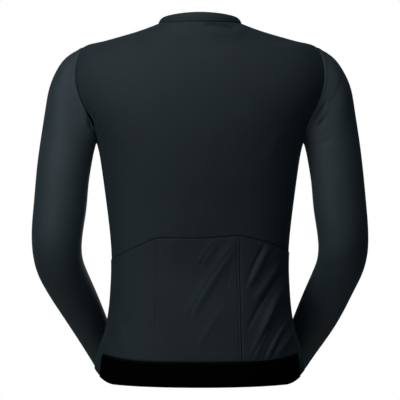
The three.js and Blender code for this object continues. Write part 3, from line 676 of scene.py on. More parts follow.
def body_grids(runs, edges, columns, shares, ends, lift, thick=THICK):
    """The outer and inner points of a patch of the body form. Ends are the tables of its bottom,
    top, low and high edge, and lift gives how far the cloth stands off the form at its points."""
    bottom, top, low, high = ends
    rows = ladder(runs[0], runs[-1], runs, bottom, top, thick)
    grids = []
    for side in (0, 1):
        run = rows[2 * side][:, None]
        low_edge, high_edge = edges(run)
        low_step = 1 / arc_per_radian(low_edge, run)
        high_step = 1 / arc_per_radian(high_edge, run)
        room = 1.0
        inside = columns(low_edge + (low[-1, 0] + room) * low_step,
                         high_edge - (high[-1, 0] + room) * high_step, shares)
        angle = np.concatenate([low_edge + low[:, 2 * side] * low_step, inside,
                                high_edge - high[::-1, 2 * side] * high_step], 1)
        row_depth = rows[2 * side + 1][:, None]
        still = np.zeros(len(shares)) + side * thick
        column_depth = np.r_[low[:, 2 * side + 1], still, high[::-1, 2 * side + 1]]
        depth = row_depth + column_depth - side * thick
        base = body_point(angle, run)
        height = lift(base) - depth
        grids.append(base + body_outward(angle, run) * height[..., None])
        if side == 0:
            flat_base = base
    zero = int(np.argmin(np.abs(flat_base[0, :, 0])))
    return grids[0], grids[1], cloth_uv(flat_base, rows[0][:, None], zero)


def back_edges(run):
    edge = panel_edge(run, -1)
    return -np.pi - edge, edge


MOUTH_GROOVE = {"depth": 1.6, "width": 1.3, "above": 1.0}
SHOULDER_EASE = {"depth": 2.0, "height": -49, "width": 17}


def back_lift(point):
    """Folds, a groove just above the pockets, where their elastic edge presses the back in, and
    an easing of the form's bend across the shoulders, which stretched knit rounds off."""
    x, z = point[..., 0], point[..., 2]
    above = z - mouth_height(x) - MOUTH_GROOVE["above"]
    groove = MOUTH_GROOVE["depth"] * np.exp(-(above / MOUTH_GROOVE["width"]) ** 2)
    bend = SHOULDER_EASE["depth"] * np.exp(-((z - SHOULDER_EASE["height"]) / SHOULDER_EASE["width"]) ** 2)
    return (folds_at(x, z, BACK_FOLDS) - groove * smooth((162 - np.abs(x)) / 14)
            - bend * smooth((196 - np.abs(x)) / 50))


even_shares = np.linspace(-1, 1, 150)
back_shares = 0.75 * even_shares + 0.25 * np.sin(np.pi / 2 * even_shares)
outer, inner, uv = body_grids(back_rows, back_edges, back_columns, back_shares,
                              (OPEN_EDGE + [0.15, 0, 0.15, 0], SEAM_EDGE, SEAM_EDGE, SEAM_EDGE), back_lift)
outer, inner = hem_curve(outer), hem_curve(inner)
back_panel = cloth_wall("back_panel", outer, inner, uv, jersey_knit)

TAPE_HALF = 3.5
FRONT_EDGE = 3.8


def front_edges(run):
    return panel_edge(run, 1), np.pi / 2 - np.arcsin(FRONT_EDGE / body_at(run)[..., 3])


MIRROR = np.array([-1.0, 1, 1])
front_ends = (OPEN_EDGE, SEAM_EDGE, SEAM_EDGE, OPEN_EDGE)
front_panels = {}
for name, side in (("front_right_panel", 1), ("front_left_panel", -1)):
    drift = 1.0 if side > 0 else 0.8
    table = [[x0, z0 + 6 * (1 - side), x1, z1 + 4 * (1 - side), h * drift, w, bow]
             for x0, z0, x1, z1, h, w, bow in FRONT_FOLDS]
    outer, inner, uv = body_grids(panel_rows, front_edges, front_columns, np.linspace(0, 1, 60),
                                  front_ends, lambda p: folds_at(p[..., 0], p[..., 2], table))
    outer, inner = hem_curve(outer), hem_curve(inner)
    if side < 0:
        outer, inner = outer * MIRROR, inner * MIRROR
    front_panels[name] = cloth_wall(name, outer, inner, uv, jersey_knit, flip=side < 0)

# %% [markdown]
# ## Sleeves
#
# A sleeve is one panel sewn into a tube. Here it is a tube of rings along a bent line: each ring
# has an outer and an inner point, a middle and a half depth. The first ring is the armhole's own
# oval, and over 130 mm it fades into the plain rings, as a set-in sleeve does.

# %% Sleeves
# Columns: outer x and z, inner x and z, middle y, half depth, what the left sleeve adds outside
SLEEVE_RINGS = np.array([
    [207, -40.5, 186.5, -213, 7, 56, 0],
    [232, -55, 186.6, -214.5, 5, 56, 1],
    [254, -79, 187.4, -217.5, 2, 55.5, 1],
    [269, -108, 188.5, -222.5, -3, 54.5, 0],
    [277.5, -151, 191, -234.5, -10, 52.5, 0],
    [284, -200, 194.5, -256, -19, 51, 0],
    [289.8, -252, 198.5, -287, -29, 49.5, 0.5],
    [295.9, -324, 202.5, -335, -38, 48, 0],
    [299.3, -378, 208.7, -378, -41, 46.5, 0],
    [298.6, -408, 210.6, -400, -37, 45.5, -0.5],
    [292.4, -441, 209.8, -420, -24, 44, 0],
    [279.8, -474, 204.4, -441, -3, 42, -0.5],
    [263.2, -514, 191.5, -476, 30, 38.5, -5],
    [239.9, -560, 175.6, -521, 66, 34.5, -8],
    [213.3, -602, 159.8, -566, 95, 31.5, -5],
    [198, -627, 149.5, -592, 109, 30, -3.5],
])
ARMHOLE_FADE = 130
middles = np.stack([(SLEEVE_RINGS[:, 0] + SLEEVE_RINGS[:, 2]) / 2, SLEEVE_RINGS[:, 4],
                    (SLEEVE_RINGS[:, 1] + SLEEVE_RINGS[:, 3]) / 2], -1)
sleeve_runs = np.r_[0, np.cumsum(np.linalg.norm(np.diff(middles, axis=0), axis=1))]
sleeve_length = sleeve_runs[-1]
sleeve_at = spline(sleeve_runs, SLEEVE_RINGS)


def sleeve_frame(run, is_left):
    """The middle, outer point and inner point of the ring at a run."""
    outer_x, outer_z, inner_x, inner_z, middle_y, _, extra = np.moveaxis(sleeve_at(run), -1, 0)
    outer_x = outer_x + extra * is_left
    outer = np.stack([outer_x, 0 * outer_x, outer_z], -1)
    inner = np.stack([inner_x, 0 * outer_x, inner_z], -1)
    middle = (outer + inner) / 2
    middle[..., 1] = middle_y
    return middle, outer, inner


def unit(vectors):
    return vectors / np.linalg.norm(vectors, axis=-1, keepdims=True)


def sleeve_ring_point(turn, run, is_left):
    """The middle, plus the half width times the cosine, plus the half depth times the sine."""
    middle, outer, inner = sleeve_frame(run, is_left)
    ahead = sleeve_frame(np.minimum(run + 2, sleeve_length), is_left)[0]
    behind = sleeve_frame(np.maximum(run - 2, 0), is_left)[0]
    width = outer - inner
    backward = unit(np.cross(ahead - behind, width))
    half_depth = sleeve_at(run)[..., 5:6]
    return middle + width / 2 * np.cos(turn)[..., None] + backward * half_depth * np.sin(turn)[..., None]


def sleeve_point(turn, run, is_left):
    """A plain ring, shifted to the armhole at run 0, with the shift fading along the arm."""
    turn, run = np.broadcast_arrays(turn, run)
    angle, hole_run = armhole_place(turn)
    shift = body_point(angle, hole_run) - sleeve_ring_point(turn, 0 * run, is_left)
    fade = 1 - smooth(run / ARMHOLE_FADE)
    return sleeve_ring_point(turn, run, is_left) + shift * fade[..., None]


def sleeve_outward(turn, run, is_left):
    place = np.clip(run, 0.5, sleeve_length - 0.5)
    return outward_of(lambda a, b: sleeve_point(a, b, is_left), turn, place, 0.01, 0.5)


# Folds on the back of each sleeve, and on the front of both. The armpit pinches come first.
SLEEVE_BACK_FOLDS = {
    "right": [
        [222, -142, 202, -174, -2.8, 2.6, -2],
        [219, -171, 207, -187, -2.6, 2.6, -1],
        [226, -152, 211, -176, 1.5, 4, -1],
        [226, -184, 212, -198, 0.9, 5, 1],
        [196, -222, 236, -206, -0.8, 6, 2],
        [210, -392, 258, -368, -0.4, 10, 4],
        [212, -414, 280, -404, 0.4, 12, 5],
    ],
    "left": [
        [202, -154, 194, -190, -2.8, 2.6, 2],
        [192, -168, 190, -190, -2.0, 2.4, 0],
        [206, -160, 203, -190, 0.8, 4.5, 1],
        [196, -226, 232, -204, -0.7, 6, -2],
        [211, -396, 270, -366, 0.5, 12, 5],
        [211, -418, 276, -398, -0.4, 10, 4],
    ],
}
SLEEVE_FRONT_FOLDS = [
    [190, -190, 222, -150, -2.0, 4, 2],
    [198, -204, 240, -170, 1.8, 6, -3],
    [200, -226, 246, -214, -1.4, 5, 2],
    [214, -372, 268, -352, 1.5, 8, 3],
    [213, -396, 286, -384, -1.8, 5.5, 4],
    [212, -412, 290, -410, 2.0, 7, 4],
    [210, -430, 280, -436, -1.7, 5.5, 4],
    [206, -452, 262, -466, 1.3, 8, 3],
    [186, -500, 232, -524, -1.0, 6, 2],
    [170, -548, 214, -576, 1.1, 7, 2],
]
CUFF_HEM = 15.0


def sleeve_lift(point, turn, run, hand):
    """Folds where their side faces out, a seam ridge, and a dent where the cuff's hem is sewn."""
    backward = np.sin(turn)
    x, z = point[..., 0], point[..., 2]
    behind = folds_at(x, z, SLEEVE_BACK_FOLDS[hand]) * smooth(backward * 2 + 0.4)
    ahead = folds_at(x, z, SLEEVE_FRONT_FOLDS) * smooth(-backward * 2 + 0.3)
    ridge = 0.9 * np.exp(-((run - 3.4) / 1.5) ** 2)
    hem = -0.35 * np.exp(-((sleeve_length - run - CUFF_HEM) / 1.6) ** 2)
    return behind + ahead + ridge + hem


SEAM_GAP = 0.3
# finest at the armhole's seam, and fine at the armpit and the elbow
sleeve_rows = np.r_[np.arange(0, 9, 0.9), np.arange(9, 112, 2.2), np.arange(112, 345, 3.8),
                    np.arange(345, 470, 2.8), np.arange(470, sleeve_length, 3.4)]
even_turns = np.linspace(0, 2 * np.pi, 137)
# the columns lie closest on the inner side of the arm, where the folds are
sleeve_turns = even_turns + 0.35 * np.sin(even_turns)
start_edge = SEAM_EDGE + [SEAM_GAP / 2, 0, SEAM_GAP / 2, 0]
sleeves = {}
for name, is_left in (("right_sleeve", 0), ("left_sleeve", 1)):
    rows = ladder(0, sleeve_length, sleeve_rows, start_edge, OPEN_EDGE)
    walls = []
    for side in (0, 1):
        run = rows[2 * side][:, None]
        base = sleeve_point(sleeve_turns[None, :], run, is_left)
        hand = "left" if is_left else "right"
        height = sleeve_lift(base, sleeve_turns[None, :], run, hand) - rows[2 * side + 1][:, None]
        walls.append(base + sleeve_outward(sleeve_turns[None, :], run, is_left) * height[..., None])
        if side == 0:
            uv = cloth_uv(base, run, 0)
    if is_left:
        walls = [wall * MIRROR for wall in walls]
    sleeves[name] = cloth_wall(name, walls[0], walls[1], uv, sleeve_knit, is_tube=True, flip=bool(is_left))

# %% [markdown]
# ## Back pockets
#
# Three pockets lie flat on the lower back. Their open edge dips at both sides, and the cloth is
# slack, most of all on the right, where folds run down from the side to the middle. The light
# ridges and the dark valleys between them are separate rows, because on slack knit the valleys are
# narrower and sharper than the ridges.

# %% Pocket shapes
POCKET_SEAMS = {"left": -75, "right": 68.5}
SEAM_LEAN = 5
SIDE_MARGIN = 2.2
MOUTH_HEIGHT = -386
MOUTH_LIFT = 0.9
POCKET_STAND = 2.0
SIDE_STAND = 1.25
POCKET_FOLDS = [
    [121, -400, 86, -466, 3.4, 6.5, 0],
    [139, -430, 98, -492, 3.0, 6.5, 0],
    [150, -462, 108, -548, 3.5, 7.5, 0],
    [136, -486, 92, -594, 3.7, 7.5, 0],
    [149, -532, 116, -592, 3.4, 6.5, 0],
    [163, -552, 136, -592, 2.8, 6, 0],
    [61, -392, -20, -520, 3.3, 9, 0],
    [28, -389, 0, -428, 2.0, 7.5, 0],
    [42, -506, 0, -574, 1.8, 9, 0],
    [-154, -520, -127, -586, 2.0, 9, 0],
    [113, -394, 80, -470, -2.2, 3.0, 2],
    [130, -404, 112, -427, -2.0, 3.0, 1],
    [143, -445, 82, -546, -2.3, 3.5, 3],
    [138, -486, 88, -596, -2.2, 3.2, -3],
    [149, -528, 110, -598, -2.2, 3.0, 2],
    [146, -548, 124, -598, -1.8, 2.8, 0],
    [27, -392, 0, -432, -1.4, 3.0, 2],
    [61, -396, -22, -525, -1.7, 4.0, 4],
    [52, -440, 47, -470, -0.7, 3.5, 0],
    [41, -510, 0, -576, -0.9, 4, -2],
    [-153, -522, -126, -588, -1.0, 4.5, 0],
]
mouth_run = run_at_height(MOUTH_HEIGHT)


def pocket_edge(name, run):
    """The angle of a pocket's edge, on a seam between pockets or just inside a side seam."""
    if name in POCKET_SEAMS:
        lean = SEAM_LEAN * (mouth_run - run) / (mouth_run - gripper_run)
        x = POCKET_SEAMS[name] + math.copysign(1, POCKET_SEAMS[name]) * lean
        return -np.arccos(x / body_at(run)[..., 3])
    seam = side_seam_angle(run)
    margin = SIDE_MARGIN / arc_per_radian(seam, run)
    return seam - margin if name == "right_side" else -np.pi - seam + margin


def pocket_height(angle, run, top):
    """How far the pockets' outer side stands off the form: flatter at the side seams, a little
    more open at the mouth, and the folds on top."""
    base = body_point(angle, run)
    share = np.clip((run - gripper_run) / (top - gripper_run), 0, 1)
    seam = side_seam_angle(run)
    near = np.minimum(seam - angle, angle + np.pi + seam) * arc_per_radian(angle, run)
    slack = smooth(near / 18)
    full = POCKET_STAND - SIDE_STAND + MOUTH_LIFT * share ** 6
    return SIDE_STAND + slack * full + folds_at(base[..., 0], base[..., 2], POCKET_FOLDS) * smooth(near / 9)


def pocket_grids(left, right, shares, low, high):
    """Columns run from the gripper's seam to the open edge, and the last row is that edge. Each
    column has a share of the way across and a distance in millimetres from the edge it starts at."""
    share = np.r_[0 * low[:, 0], shares, 0 * high[:, 0] + 1]
    height = np.linspace(0, 1, 74)
    grids = []
    for side in (0, 1):
        aside = np.r_[low[:, 2 * side], 0 * shares, -high[::-1, 2 * side]]
        column_depth = np.r_[low[:, 2 * side + 1], 0 * shares + side * THICK, high[::-1, 2 * side + 1]]

        def angle_at(run):
            a, b = pocket_edge(left, run), pocket_edge(right, run)
            angle = a + (b - a) * share
            return angle + aside / arc_per_radian(angle, run)

        top = np.full(len(share), mouth_run)
        for _ in range(6):
            x = body_point(angle_at(top), top)[..., 0]
            top = run_at_height(mouth_height(x))
        rows = ladder(0, 1000, height * 1000, PRESSED_EDGE, OPEN_EDGE)
        up, row_depth = rows[2 * side], rows[2 * side + 1][:, None]
        room = top - gripper_run - SEAM_GAP
        low_end, high_end = PRESSED_EDGE[-1, 0], OPEN_EDGE[-1, 0]
        is_low, is_high = up <= low_end, up >= 1000 - high_end
        inside = low_end + (up[:, None] - low_end) / (1000 - low_end - high_end) * (room - low_end - high_end)
        distance = np.where(is_low[:, None], up[:, None],
                            np.where(is_high[:, None], room + up[:, None] - 1000, inside))
        run = gripper_run + SEAM_GAP + distance
        angle = angle_at(run)
        base = body_point(angle, run)
        stand = pocket_height(angle, run, top[None, :])
        depth = row_depth + column_depth - side * THICK
        grids.append(base + body_outward(angle, run) * (stand - depth)[..., None])
        if side == 0:
            uv = cloth_uv(base, run, 0)
            uv[..., 0] += base[:, :1, 0]
    return grids[0], grids[1], uv


pocket_plan = {
    "left_pocket": ("left_side", "left", 36, SIDE_EDGE, SOFT_EDGE),
    "centre_pocket": ("left", "right", 66, SOFT_EDGE, STITCHED_EDGE),
    "right_pocket": ("right", "right_side", 56, PRESSED_EDGE, SIDE_EDGE),
}
pockets = {}
for name, (left, right, count, low, high) in pocket_plan.items():
    shares = np.linspace(0, 1, count + 2)[1:-1]
    shares = 0.06 + 0.88 * shares
    outer, inner, uv = pocket_grids(left, right, shares, low, high)
    outer, inner = hem_curve(outer), hem_curve(inner)
    pockets[name] = cloth_wall(name, outer, inner, uv, jersey_knit)

# %% [markdown]
# ## Gripper band and collar
#
# The elastic band keeps the back hem down. It is a patch of the same form, a little proud of the
# panel. The collar is a low band that stands on the neckline: its base is the form's last ring,
# and its top is an ellipse that drops at the front. Between them it bows out slightly.

# %% Gripper band
GRIPPER_THICK = 1.3


def gripper_edges(run):
    seam = side_seam_angle(run)
    return -np.pi - seam, seam


gripper_ends = (ELASTIC_EDGE, ELASTIC_TOP, ELASTIC_EDGE + [0.15, 0, 0.15, 0],
                ELASTIC_EDGE + [0.15, 0, 0.15, 0])
outer, inner, uv = body_grids(np.linspace(0, gripper_run, 14), gripper_edges, back_columns,
                              np.linspace(-1, 1, 110), gripper_ends, lambda p: 0 * p[..., 0] + 0.3,
                              GRIPPER_THICK)
outer, inner = hem_curve(outer, 2.4), hem_curve(inner, 2.4)
gripper_band = cloth_wall("gripper_band", outer, inner, uv, elastic)

# %% Collar
COLLAR_TOP = {"half_width": 67.5, "back": 53.5, "front": 57, "side": 11, "back_rise": 6, "front_rise": -45}
COLLAR_BOW = 1.6
COLLAR_STITCH = 4.8


def collar_point(angle, height):
    """A straight way from the neckline to the top edge, bowed out by a parabola."""
    angle, height = np.broadcast_arrays(angle, height)
    across, forward = np.cos(angle), np.sin(angle)
    base = body_point(angle, body_length)
    back, front = COLLAR_TOP["back"], COLLAR_TOP["front"]
    depth = (back + front) / 2 + (front - back) / 2 * forward
    rise = np.where(forward < 0, COLLAR_TOP["back_rise"], COLLAR_TOP["front_rise"])
    top = np.stack([COLLAR_TOP["half_width"] * across, depth * forward,
                    COLLAR_TOP["side"] + rise * forward ** 2], -1)
    bow = COLLAR_BOW * 4 * height * (1 - height)
    sideways = np.stack([across * bow, forward * bow, 0 * bow], -1)
    return base + (top - base) * height[..., None] + sideways


def collar_outward(angle, height):
    return outward_of(collar_point, angle, np.clip(height, 0.03, 0.97), 0.004, 0.03)


front_angle = math.acos(FRONT_EDGE / COLLAR_TOP["half_width"])
collar_angles = np.linspace(-np.pi - front_angle, front_angle, 190)[None, :]
tall = np.linalg.norm(collar_point(collar_angles, 1) - collar_point(collar_angles, 0), axis=-1)
collar_walls = []
for side in (0, 1):
    low, high = SEAM_EDGE + [SEAM_GAP / 2, 0, SEAM_GAP / 2, 0], OPEN_EDGE
    inside = np.linspace(0, 1, 16)[1:-1, None]
    low_share, high_share = low[:, 2 * side, None] / tall, 1 - high[::-1, 2 * side, None] / tall
    height = np.concatenate([low_share, low_share[-1:] + inside * (high_share[:1] - low_share[-1:]),
                             high_share])
    depth = np.r_[low[:, 2 * side + 1], 0 * inside[:, 0] + side * THICK, high[::-1, 2 * side + 1]][:, None]
    dent = 0.6 * np.exp(-((height * tall - COLLAR_STITCH) / 0.95) ** 2)
    base = collar_point(collar_angles, height)
    # at the seam the collar's edge turns in beside the panel's edge, in the same direction
    turned = np.clip((depth - side * THICK) / 1.2, 0, 1) * (height < 0.4)
    direction = unit(collar_outward(collar_angles, height) * (1 - turned[..., None])
                     + body_outward(collar_angles, body_length) * turned[..., None])
    collar_walls.append(base - direction * (depth + dent)[..., None])
    if side == 0:
        uv = cloth_uv(base, height * tall, 95)
stand_collar = cloth_wall("stand_collar", collar_walls[0], collar_walls[1], uv, jersey_knit)

# %% [markdown]
# ## Zip
#
# The front closes with a moulded zip, which the photo doesn't show. Its tape is a narrow woven
# strip between the fronts. The teeth stand on it by turns from the left and the right half. One
# tooth is a small eight-cornered block, and all of them are made at once: each block's corners
# are carried to its place along the zip by that place's own three directions.

# %% Zip tape and teeth
def zip_line(count):
    """Points up the centre front, on the form and then on the collar, at equal steps."""
    body_part = body_point(np.pi / 2, np.linspace(0, body_length, 400))
    collar_part = collar_point(np.pi / 2, np.linspace(0, 1, 40)[1:])
    line = np.concatenate([body_part, collar_part])
    run = np.r_[0, np.cumsum(np.linalg.norm(np.diff(line, axis=0), axis=1))]
    even = np.linspace(0, run[-1], count)
    return np.stack([np.interp(even, run, line[:, i]) for i in range(3)], -1), even


def line_directions(line):
    """Along a line in the middle plane, and out of the cloth, square to it."""
    along = unit(np.gradient(line, axis=0))
    out = np.stack([0 * along[:, 0], along[:, 2], -along[:, 1]], -1)
    return along, out


# Woven polyester tape: a close twill, drawn 0.9 mm from rib to rib, with a dull surface.
tape_weave, tree, output = new_material("woven_polyester_tape")
uv_node = add_node(tree, "ShaderNodeUVMap", uv_map="cloth")
RIB_PITCH = 0.9
turned = add_node(tree, "ShaderNodeMapping", {
    "Vector": uv_node.outputs[0], "Rotation": (0, 0, math.radians(40)),
    "Scale": (1 / RIB_PITCH / MM, 1 / RIB_PITCH / MM, 1)})
parts = add_node(tree, "ShaderNodeSeparateXYZ", {0: turned.outputs[0]})
twill = add_node(tree, "ShaderNodeMath", {0: parts.outputs[0], 1: 1.0}, operation="PINGPONG")
# The tape's near-black is lighter on the twill's ribs and darker in its hollows: painted shade.
tape_tone_and_twill_shade = colour_between(tree, twill.outputs[0], "#0a0b0c", "#17191b")
bump = add_node(tree, "ShaderNodeBump", {"Strength": 0.4, "Distance": 0.0001, "Height": twill.outputs[0]})
tape_cloth = add_node(tree, "ShaderNodeBsdfPrincipled", {
    "Base Color": tape_tone_and_twill_shade, "Roughness": 0.7, "Specular IOR Level": 0.25, "Normal": bump.outputs[0]})
tree.links.new(tape_cloth.outputs[0], output.inputs["Surface"])

# Moulded acetal: hard black plastic with a satin face and softly worn tops.
acetal, tree, output = new_material("moulded_black_acetal")
scuff = object_noise(tree, 900.0, 3.0)
rough = add_node(tree, "ShaderNodeMapRange", {0: scuff, 1: 0.3, 2: 0.7, 3: 0.32, 4: 0.5})
plastic_tone = colour_between(tree, scuff, "#0b0c0d", "#141617")
plastic = add_node(tree, "ShaderNodeBsdfPrincipled", {"Base Color": plastic_tone,
                                                      "Roughness": rough.outputs[0], "IOR": 1.48})
tree.links.new(plastic.outputs[0], output.inputs["Surface"])

line, up = zip_line(230)
along, out = line_directions(line)
across = np.linspace(-TAPE_HALF, TAPE_HALF, 9)
sag = 0.25 * (across / TAPE_HALF) ** 2
sideways = np.zeros((1, len(across), 3))
sideways[..., 0] = across
outer = line[:, None] + sideways - out[:, None] * (0.05 + sag)[None, :, None]
inner = outer - out[:, None] * THICK
zip_strip = cloth_wall("zip_strip", outer, inner, cloth_uv(outer, up[:, None], 4), tape_weave)

TOOTH_PITCH = 1.25
TOOTH = {"reach": 2.5, "overlap": 0.75, "height": 0.95, "length": 0.95, "shrink": 0.8}
SLIDER_RUN = up[-1] - 11
tooth_count = int((SLIDER_RUN - 6) / TOOTH_PITCH)
tooth_up = 4 + TOOTH_PITCH * np.arange(tooth_count)
seat = np.stack([np.interp(tooth_up, up, line[:, i]) for i in range(3)], -1)
seat_along = np.stack([np.interp(tooth_up, up, along[:, i]) for i in range(3)], -1)
seat_out = np.stack([np.interp(tooth_up, up, out[:, i]) for i in range(3)], -1)
hand = np.where(np.arange(tooth_count) % 2, 1.0, -1.0)
corner = np.array([[x, y, z] for z in (0, 1) for y in (-1, 1) for x in (0, 1)], float)
shrink = np.where(corner[:, 2] > 0, TOOTH["shrink"], 1.0)
tooth_x = (-TOOTH["overlap"] + corner[:, 0] * (TOOTH["overlap"] + TOOTH["reach"])) * shrink
tooth_y = corner[:, 1] * TOOTH["length"] / 2 * shrink
tooth_z = -0.2 + corner[:, 2] * TOOTH["height"]
points = (seat[:, None] + seat_along[:, None] * tooth_y[None, :, None]
          + seat_out[:, None] * tooth_z[None, :, None])
points[..., 0] += hand[:, None] * tooth_x[None, :]
block = np.array([[0, 2, 3, 1], [4, 5, 7, 6], [0, 1, 5, 4], [2, 6, 7, 3], [0, 4, 6, 2], [1, 3, 7, 5]])
block_faces = (np.arange(tooth_count)[:, None, None] * 8 + block[None])
block_faces[hand > 0] = block_faces[hand > 0][:, :, ::-1]
block_faces = block_faces[:, :, ::-1]
zip_teeth = put_mesh("zip_teeth", points.reshape(-1, 3), block_faces.reshape(-1, 4), acetal, is_smooth=False)
print(tooth_count, "teeth on", round(up[-1]), "mm of tape")

# %% [markdown]
# The slider and its pull keep the CAD's exact form, because their sizes and the pull's pivot are
# set there. A cast part has no knife edges, so each mesh is copied, its loose triangles are joined,
# and a Bevel modifier rounds the edges by a fraction of a millimetre.

# %% Slider and pull
# Zinc die casting with a black electrophoretic coat: satin, metallic underneath, a little uneven.
coated_zinc, tree, output = new_material("black_coated_zinc")
grain = object_noise(tree, 700.0, 4.0)
metal_tone = colour_between(tree, grain, "#101112", "#222426")
metal_rough = add_node(tree, "ShaderNodeMapRange", {0: grain, 1: 0.3, 2: 0.7, 3: 0.28, 4: 0.42})
zinc = add_node(tree, "ShaderNodeBsdfPrincipled", {"Base Color": metal_tone, "Metallic": 0.6,
                                                   "Roughness": metal_rough.outputs[0]})
tree.links.new(zinc.outputs[0], output.inputs["Surface"])


def rounded_copy(node, name, width):
    """A copy of a CAD node's mesh with its doubles merged and its sharp edges rounded."""
    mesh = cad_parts[node].data.copy()
    mesh.name = name
    work = bmesh.new()
    work.from_mesh(mesh)
    bmesh.ops.remove_doubles(work, verts=work.verts, dist=1e-6)
    bmesh.ops.dissolve_limit(work, angle_limit=math.radians(1), verts=work.verts, edges=work.edges)
    bmesh.ops.recalc_face_normals(work, faces=work.faces)
    for face in work.faces:
        face.smooth = False
    work.to_mesh(mesh)
    work.free()
    mesh.materials.clear()
    mesh.materials.append(coated_zinc)
    piece = bpy.data.objects.new(name, mesh)
    scene.collection.objects.link(piece)
    bevel = piece.modifiers.new("rounded_edges", "BEVEL")
    bevel.width = width * MM
    bevel.segments = 3
    bevel.limit_method = "ANGLE"
    bevel.angle_limit = math.radians(30)
    return piece


slider_body = rounded_copy("zip_slider", "slider_body", 0.22)
pull_tab = rounded_copy("zip_pull", "pull_tab", 0.22)
face_counts = [len(piece.data.polygons) for piece in (slider_body, pull_tab)]
print("slider and pull:", face_counts, "faces before rounding")

# %% [markdown]
# ## Stitching
#
# A sewn line is a row of short thread arcs, not a painted dash. Each is a thin tube with six sides
# that rises out of the cloth and dives back in. The path is cut at even steps, and all arcs of
# a line are worked out together from the path's ends, the outward direction and the direction
# across. Threads are drawn 0.3 mm thick and 2.4 mm long, close to a real machine stitch.

# %% Stitches
# Spun polyester thread: as dark as the cloth but slightly shinier, with a fine twist.
thread, tree, output = new_material("spun_polyester_thread")
twist = object_noise(tree, 1500.0, 1.0)
thread_tone = colour_between(tree, twist, "#111518", "#22292d")
bump = add_node(tree, "ShaderNodeBump", {"Strength": 0.3, "Distance": 0.00005, "Height": twist})
spun = add_node(tree, "ShaderNodeBsdfPrincipled", {"Base Color": thread_tone, "Roughness": 0.55,
                                                   "Normal": bump.outputs[0]})
tree.links.new(spun.outputs[0], output.inputs["Surface"])

STITCH_LENGTH = 2.4
STITCH_GAP = 0.9
THREAD_RADIUS = 0.16
ring_share = np.array([0, 0.22, 0.78, 1])
ring_height = np.array([-1.1, 0.6, 0.6, -1.1]) * THREAD_RADIUS
ring_radius = np.array([0.5, 1, 1, 0.5]) * THREAD_RADIUS
ring_turn = np.linspace(0, 2 * np.pi, 7)[:-1]


def arcs(starts, ends, normals):
    """Points and faces of one thread arc for each pair of ends: four rings of six points, with two
    faces on each end."""
    along = ends - starts
    side = unit(np.cross(unit(along), normals))
    centre = (starts[:, None] + along[:, None] * ring_share[None, :, None]
              + normals[:, None] * ring_height[None, :, None])
    round_about = (normals[:, None] * np.cos(ring_turn)[None, :, None]
                   + side[:, None] * np.sin(ring_turn)[None, :, None])
    points = centre[:, :, None] + round_about[:, None] * ring_radius[None, :, None, None]
    ring = np.arange(6)
    after = (ring + 1) % 6
    sides = [np.stack([low + ring, low + after, low + 6 + after, low + 6 + ring], -1) for low in (0, 6, 12)]
    caps = np.array([[3, 2, 1, 0], [5, 4, 3, 0], [18, 19, 20, 21], [18, 21, 22, 23]])
    template = np.concatenate([*sides, caps])
    faces = np.arange(len(starts))[:, None, None] * 24 + template[None]
    return points.reshape(-1, 3), faces.reshape(-1, 4)


def stitched(path, normals, length=STITCH_LENGTH, gap=STITCH_GAP):
    """Even stitches along a path: the path's length is cut into steps of a stitch and a gap."""
    run = np.r_[0, np.cumsum(np.linalg.norm(np.diff(path, axis=0), axis=1))]
    start = np.arange(0.4, run[-1] - length, length + gap)
    at = lambda values, place: np.stack([np.interp(place, run, values[:, i]) for i in range(3)], -1)
    return arcs(at(path, start), at(path, start + length), unit(at(normals, start + length / 2)))


def join_arcs(name, lines):
    points = np.concatenate([p for p, _ in lines])
    counts = np.cumsum([0] + [len(p) for p, _ in lines[:-1]])
    faces = np.concatenate([f + c for (_, f), c in zip(lines, counts)])
    piece = put_mesh(name, points, faces, thread)
    print(f"{name}: {len(points) // 24} stitches, {2 * len(faces)} triangles")
    return piece


def body_path(angle, run, height):
    angle, run, height = np.broadcast_arrays(angle, run, height)
    normal = body_outward(angle, run)
    return hem_curve(body_point(angle, run) + normal * height[..., None]), normal


pocket_lines = []
for offset, sunk in ((-4.5, 0.6), (2.2, 0.1)):
    top = float(run_at_height(mouth_height(POCKET_SEAMS["right"])))
    run = np.linspace(gripper_run + 2, top - 2, 160)
    angle = pocket_edge("right", run)
    angle = angle + offset / arc_per_radian(angle, run)
    pocket_lines.append(stitched(*body_path(angle, run, pocket_height(angle, run, top) - sunk)))
for left, right in ((-150, -80), (-71, 63), (73, 150)):
    x = np.linspace(left, right, 120)
    run = run_at_height(mouth_height(x)) - 6
    angle = -np.arccos(x / body_at(run)[..., 3])
    pocket_lines.append(stitched(*body_path(angle, run, pocket_height(angle, run, run + 6))))
pocket_stitches = join_arcs("pocket_stitches", pocket_lines)

# %% Stitches on the other seams
trim_lines = []
seam = float(side_seam_angle(gripper_run))
angle = np.linspace(-np.pi - seam + 0.03, seam - 0.03, 300)
trim_lines.append(stitched(*body_path(angle, gripper_run - 1.9, 0.3)))
angle = np.linspace(-np.pi - front_angle + 0.06, front_angle - 0.06, 300)
share = COLLAR_STITCH / np.linalg.norm(collar_point(angle, 1) - collar_point(angle, 0), axis=-1)
normal = collar_outward(angle, share)
trim_lines.append(stitched(collar_point(angle, share) - normal * 0.5, normal))
for side in (1, -1):
    run = np.linspace(3, body_length - 3, 400)
    angle = np.pi / 2 - np.arcsin((FRONT_EDGE + 3) / body_at(run)[..., 3])
    path, normal = body_path(angle, run, 0)
    trim_lines.append(stitched(path * [side, 1, 1], normal * [side, 1, 1]))
    angle = np.linspace(float(side_seam_angle(18.0)) + 0.03, np.pi / 2 - 0.06, 160)
    path, normal = body_path(angle, 18, 0)
    trim_lines.append(stitched(path * [side, 1, 1], normal * [side, 1, 1]))
    is_left = int(side < 0)
    turn = np.linspace(0, 2 * np.pi, 160)
    run = np.full(160, sleeve_length - CUFF_HEM)
    path, normal = sleeve_point(turn, run, is_left), sleeve_outward(turn, run, is_left)
    path = path - normal * 0.25
    trim_lines.append(stitched(path * [side, 1, 1], normal * [side, 1, 1]))
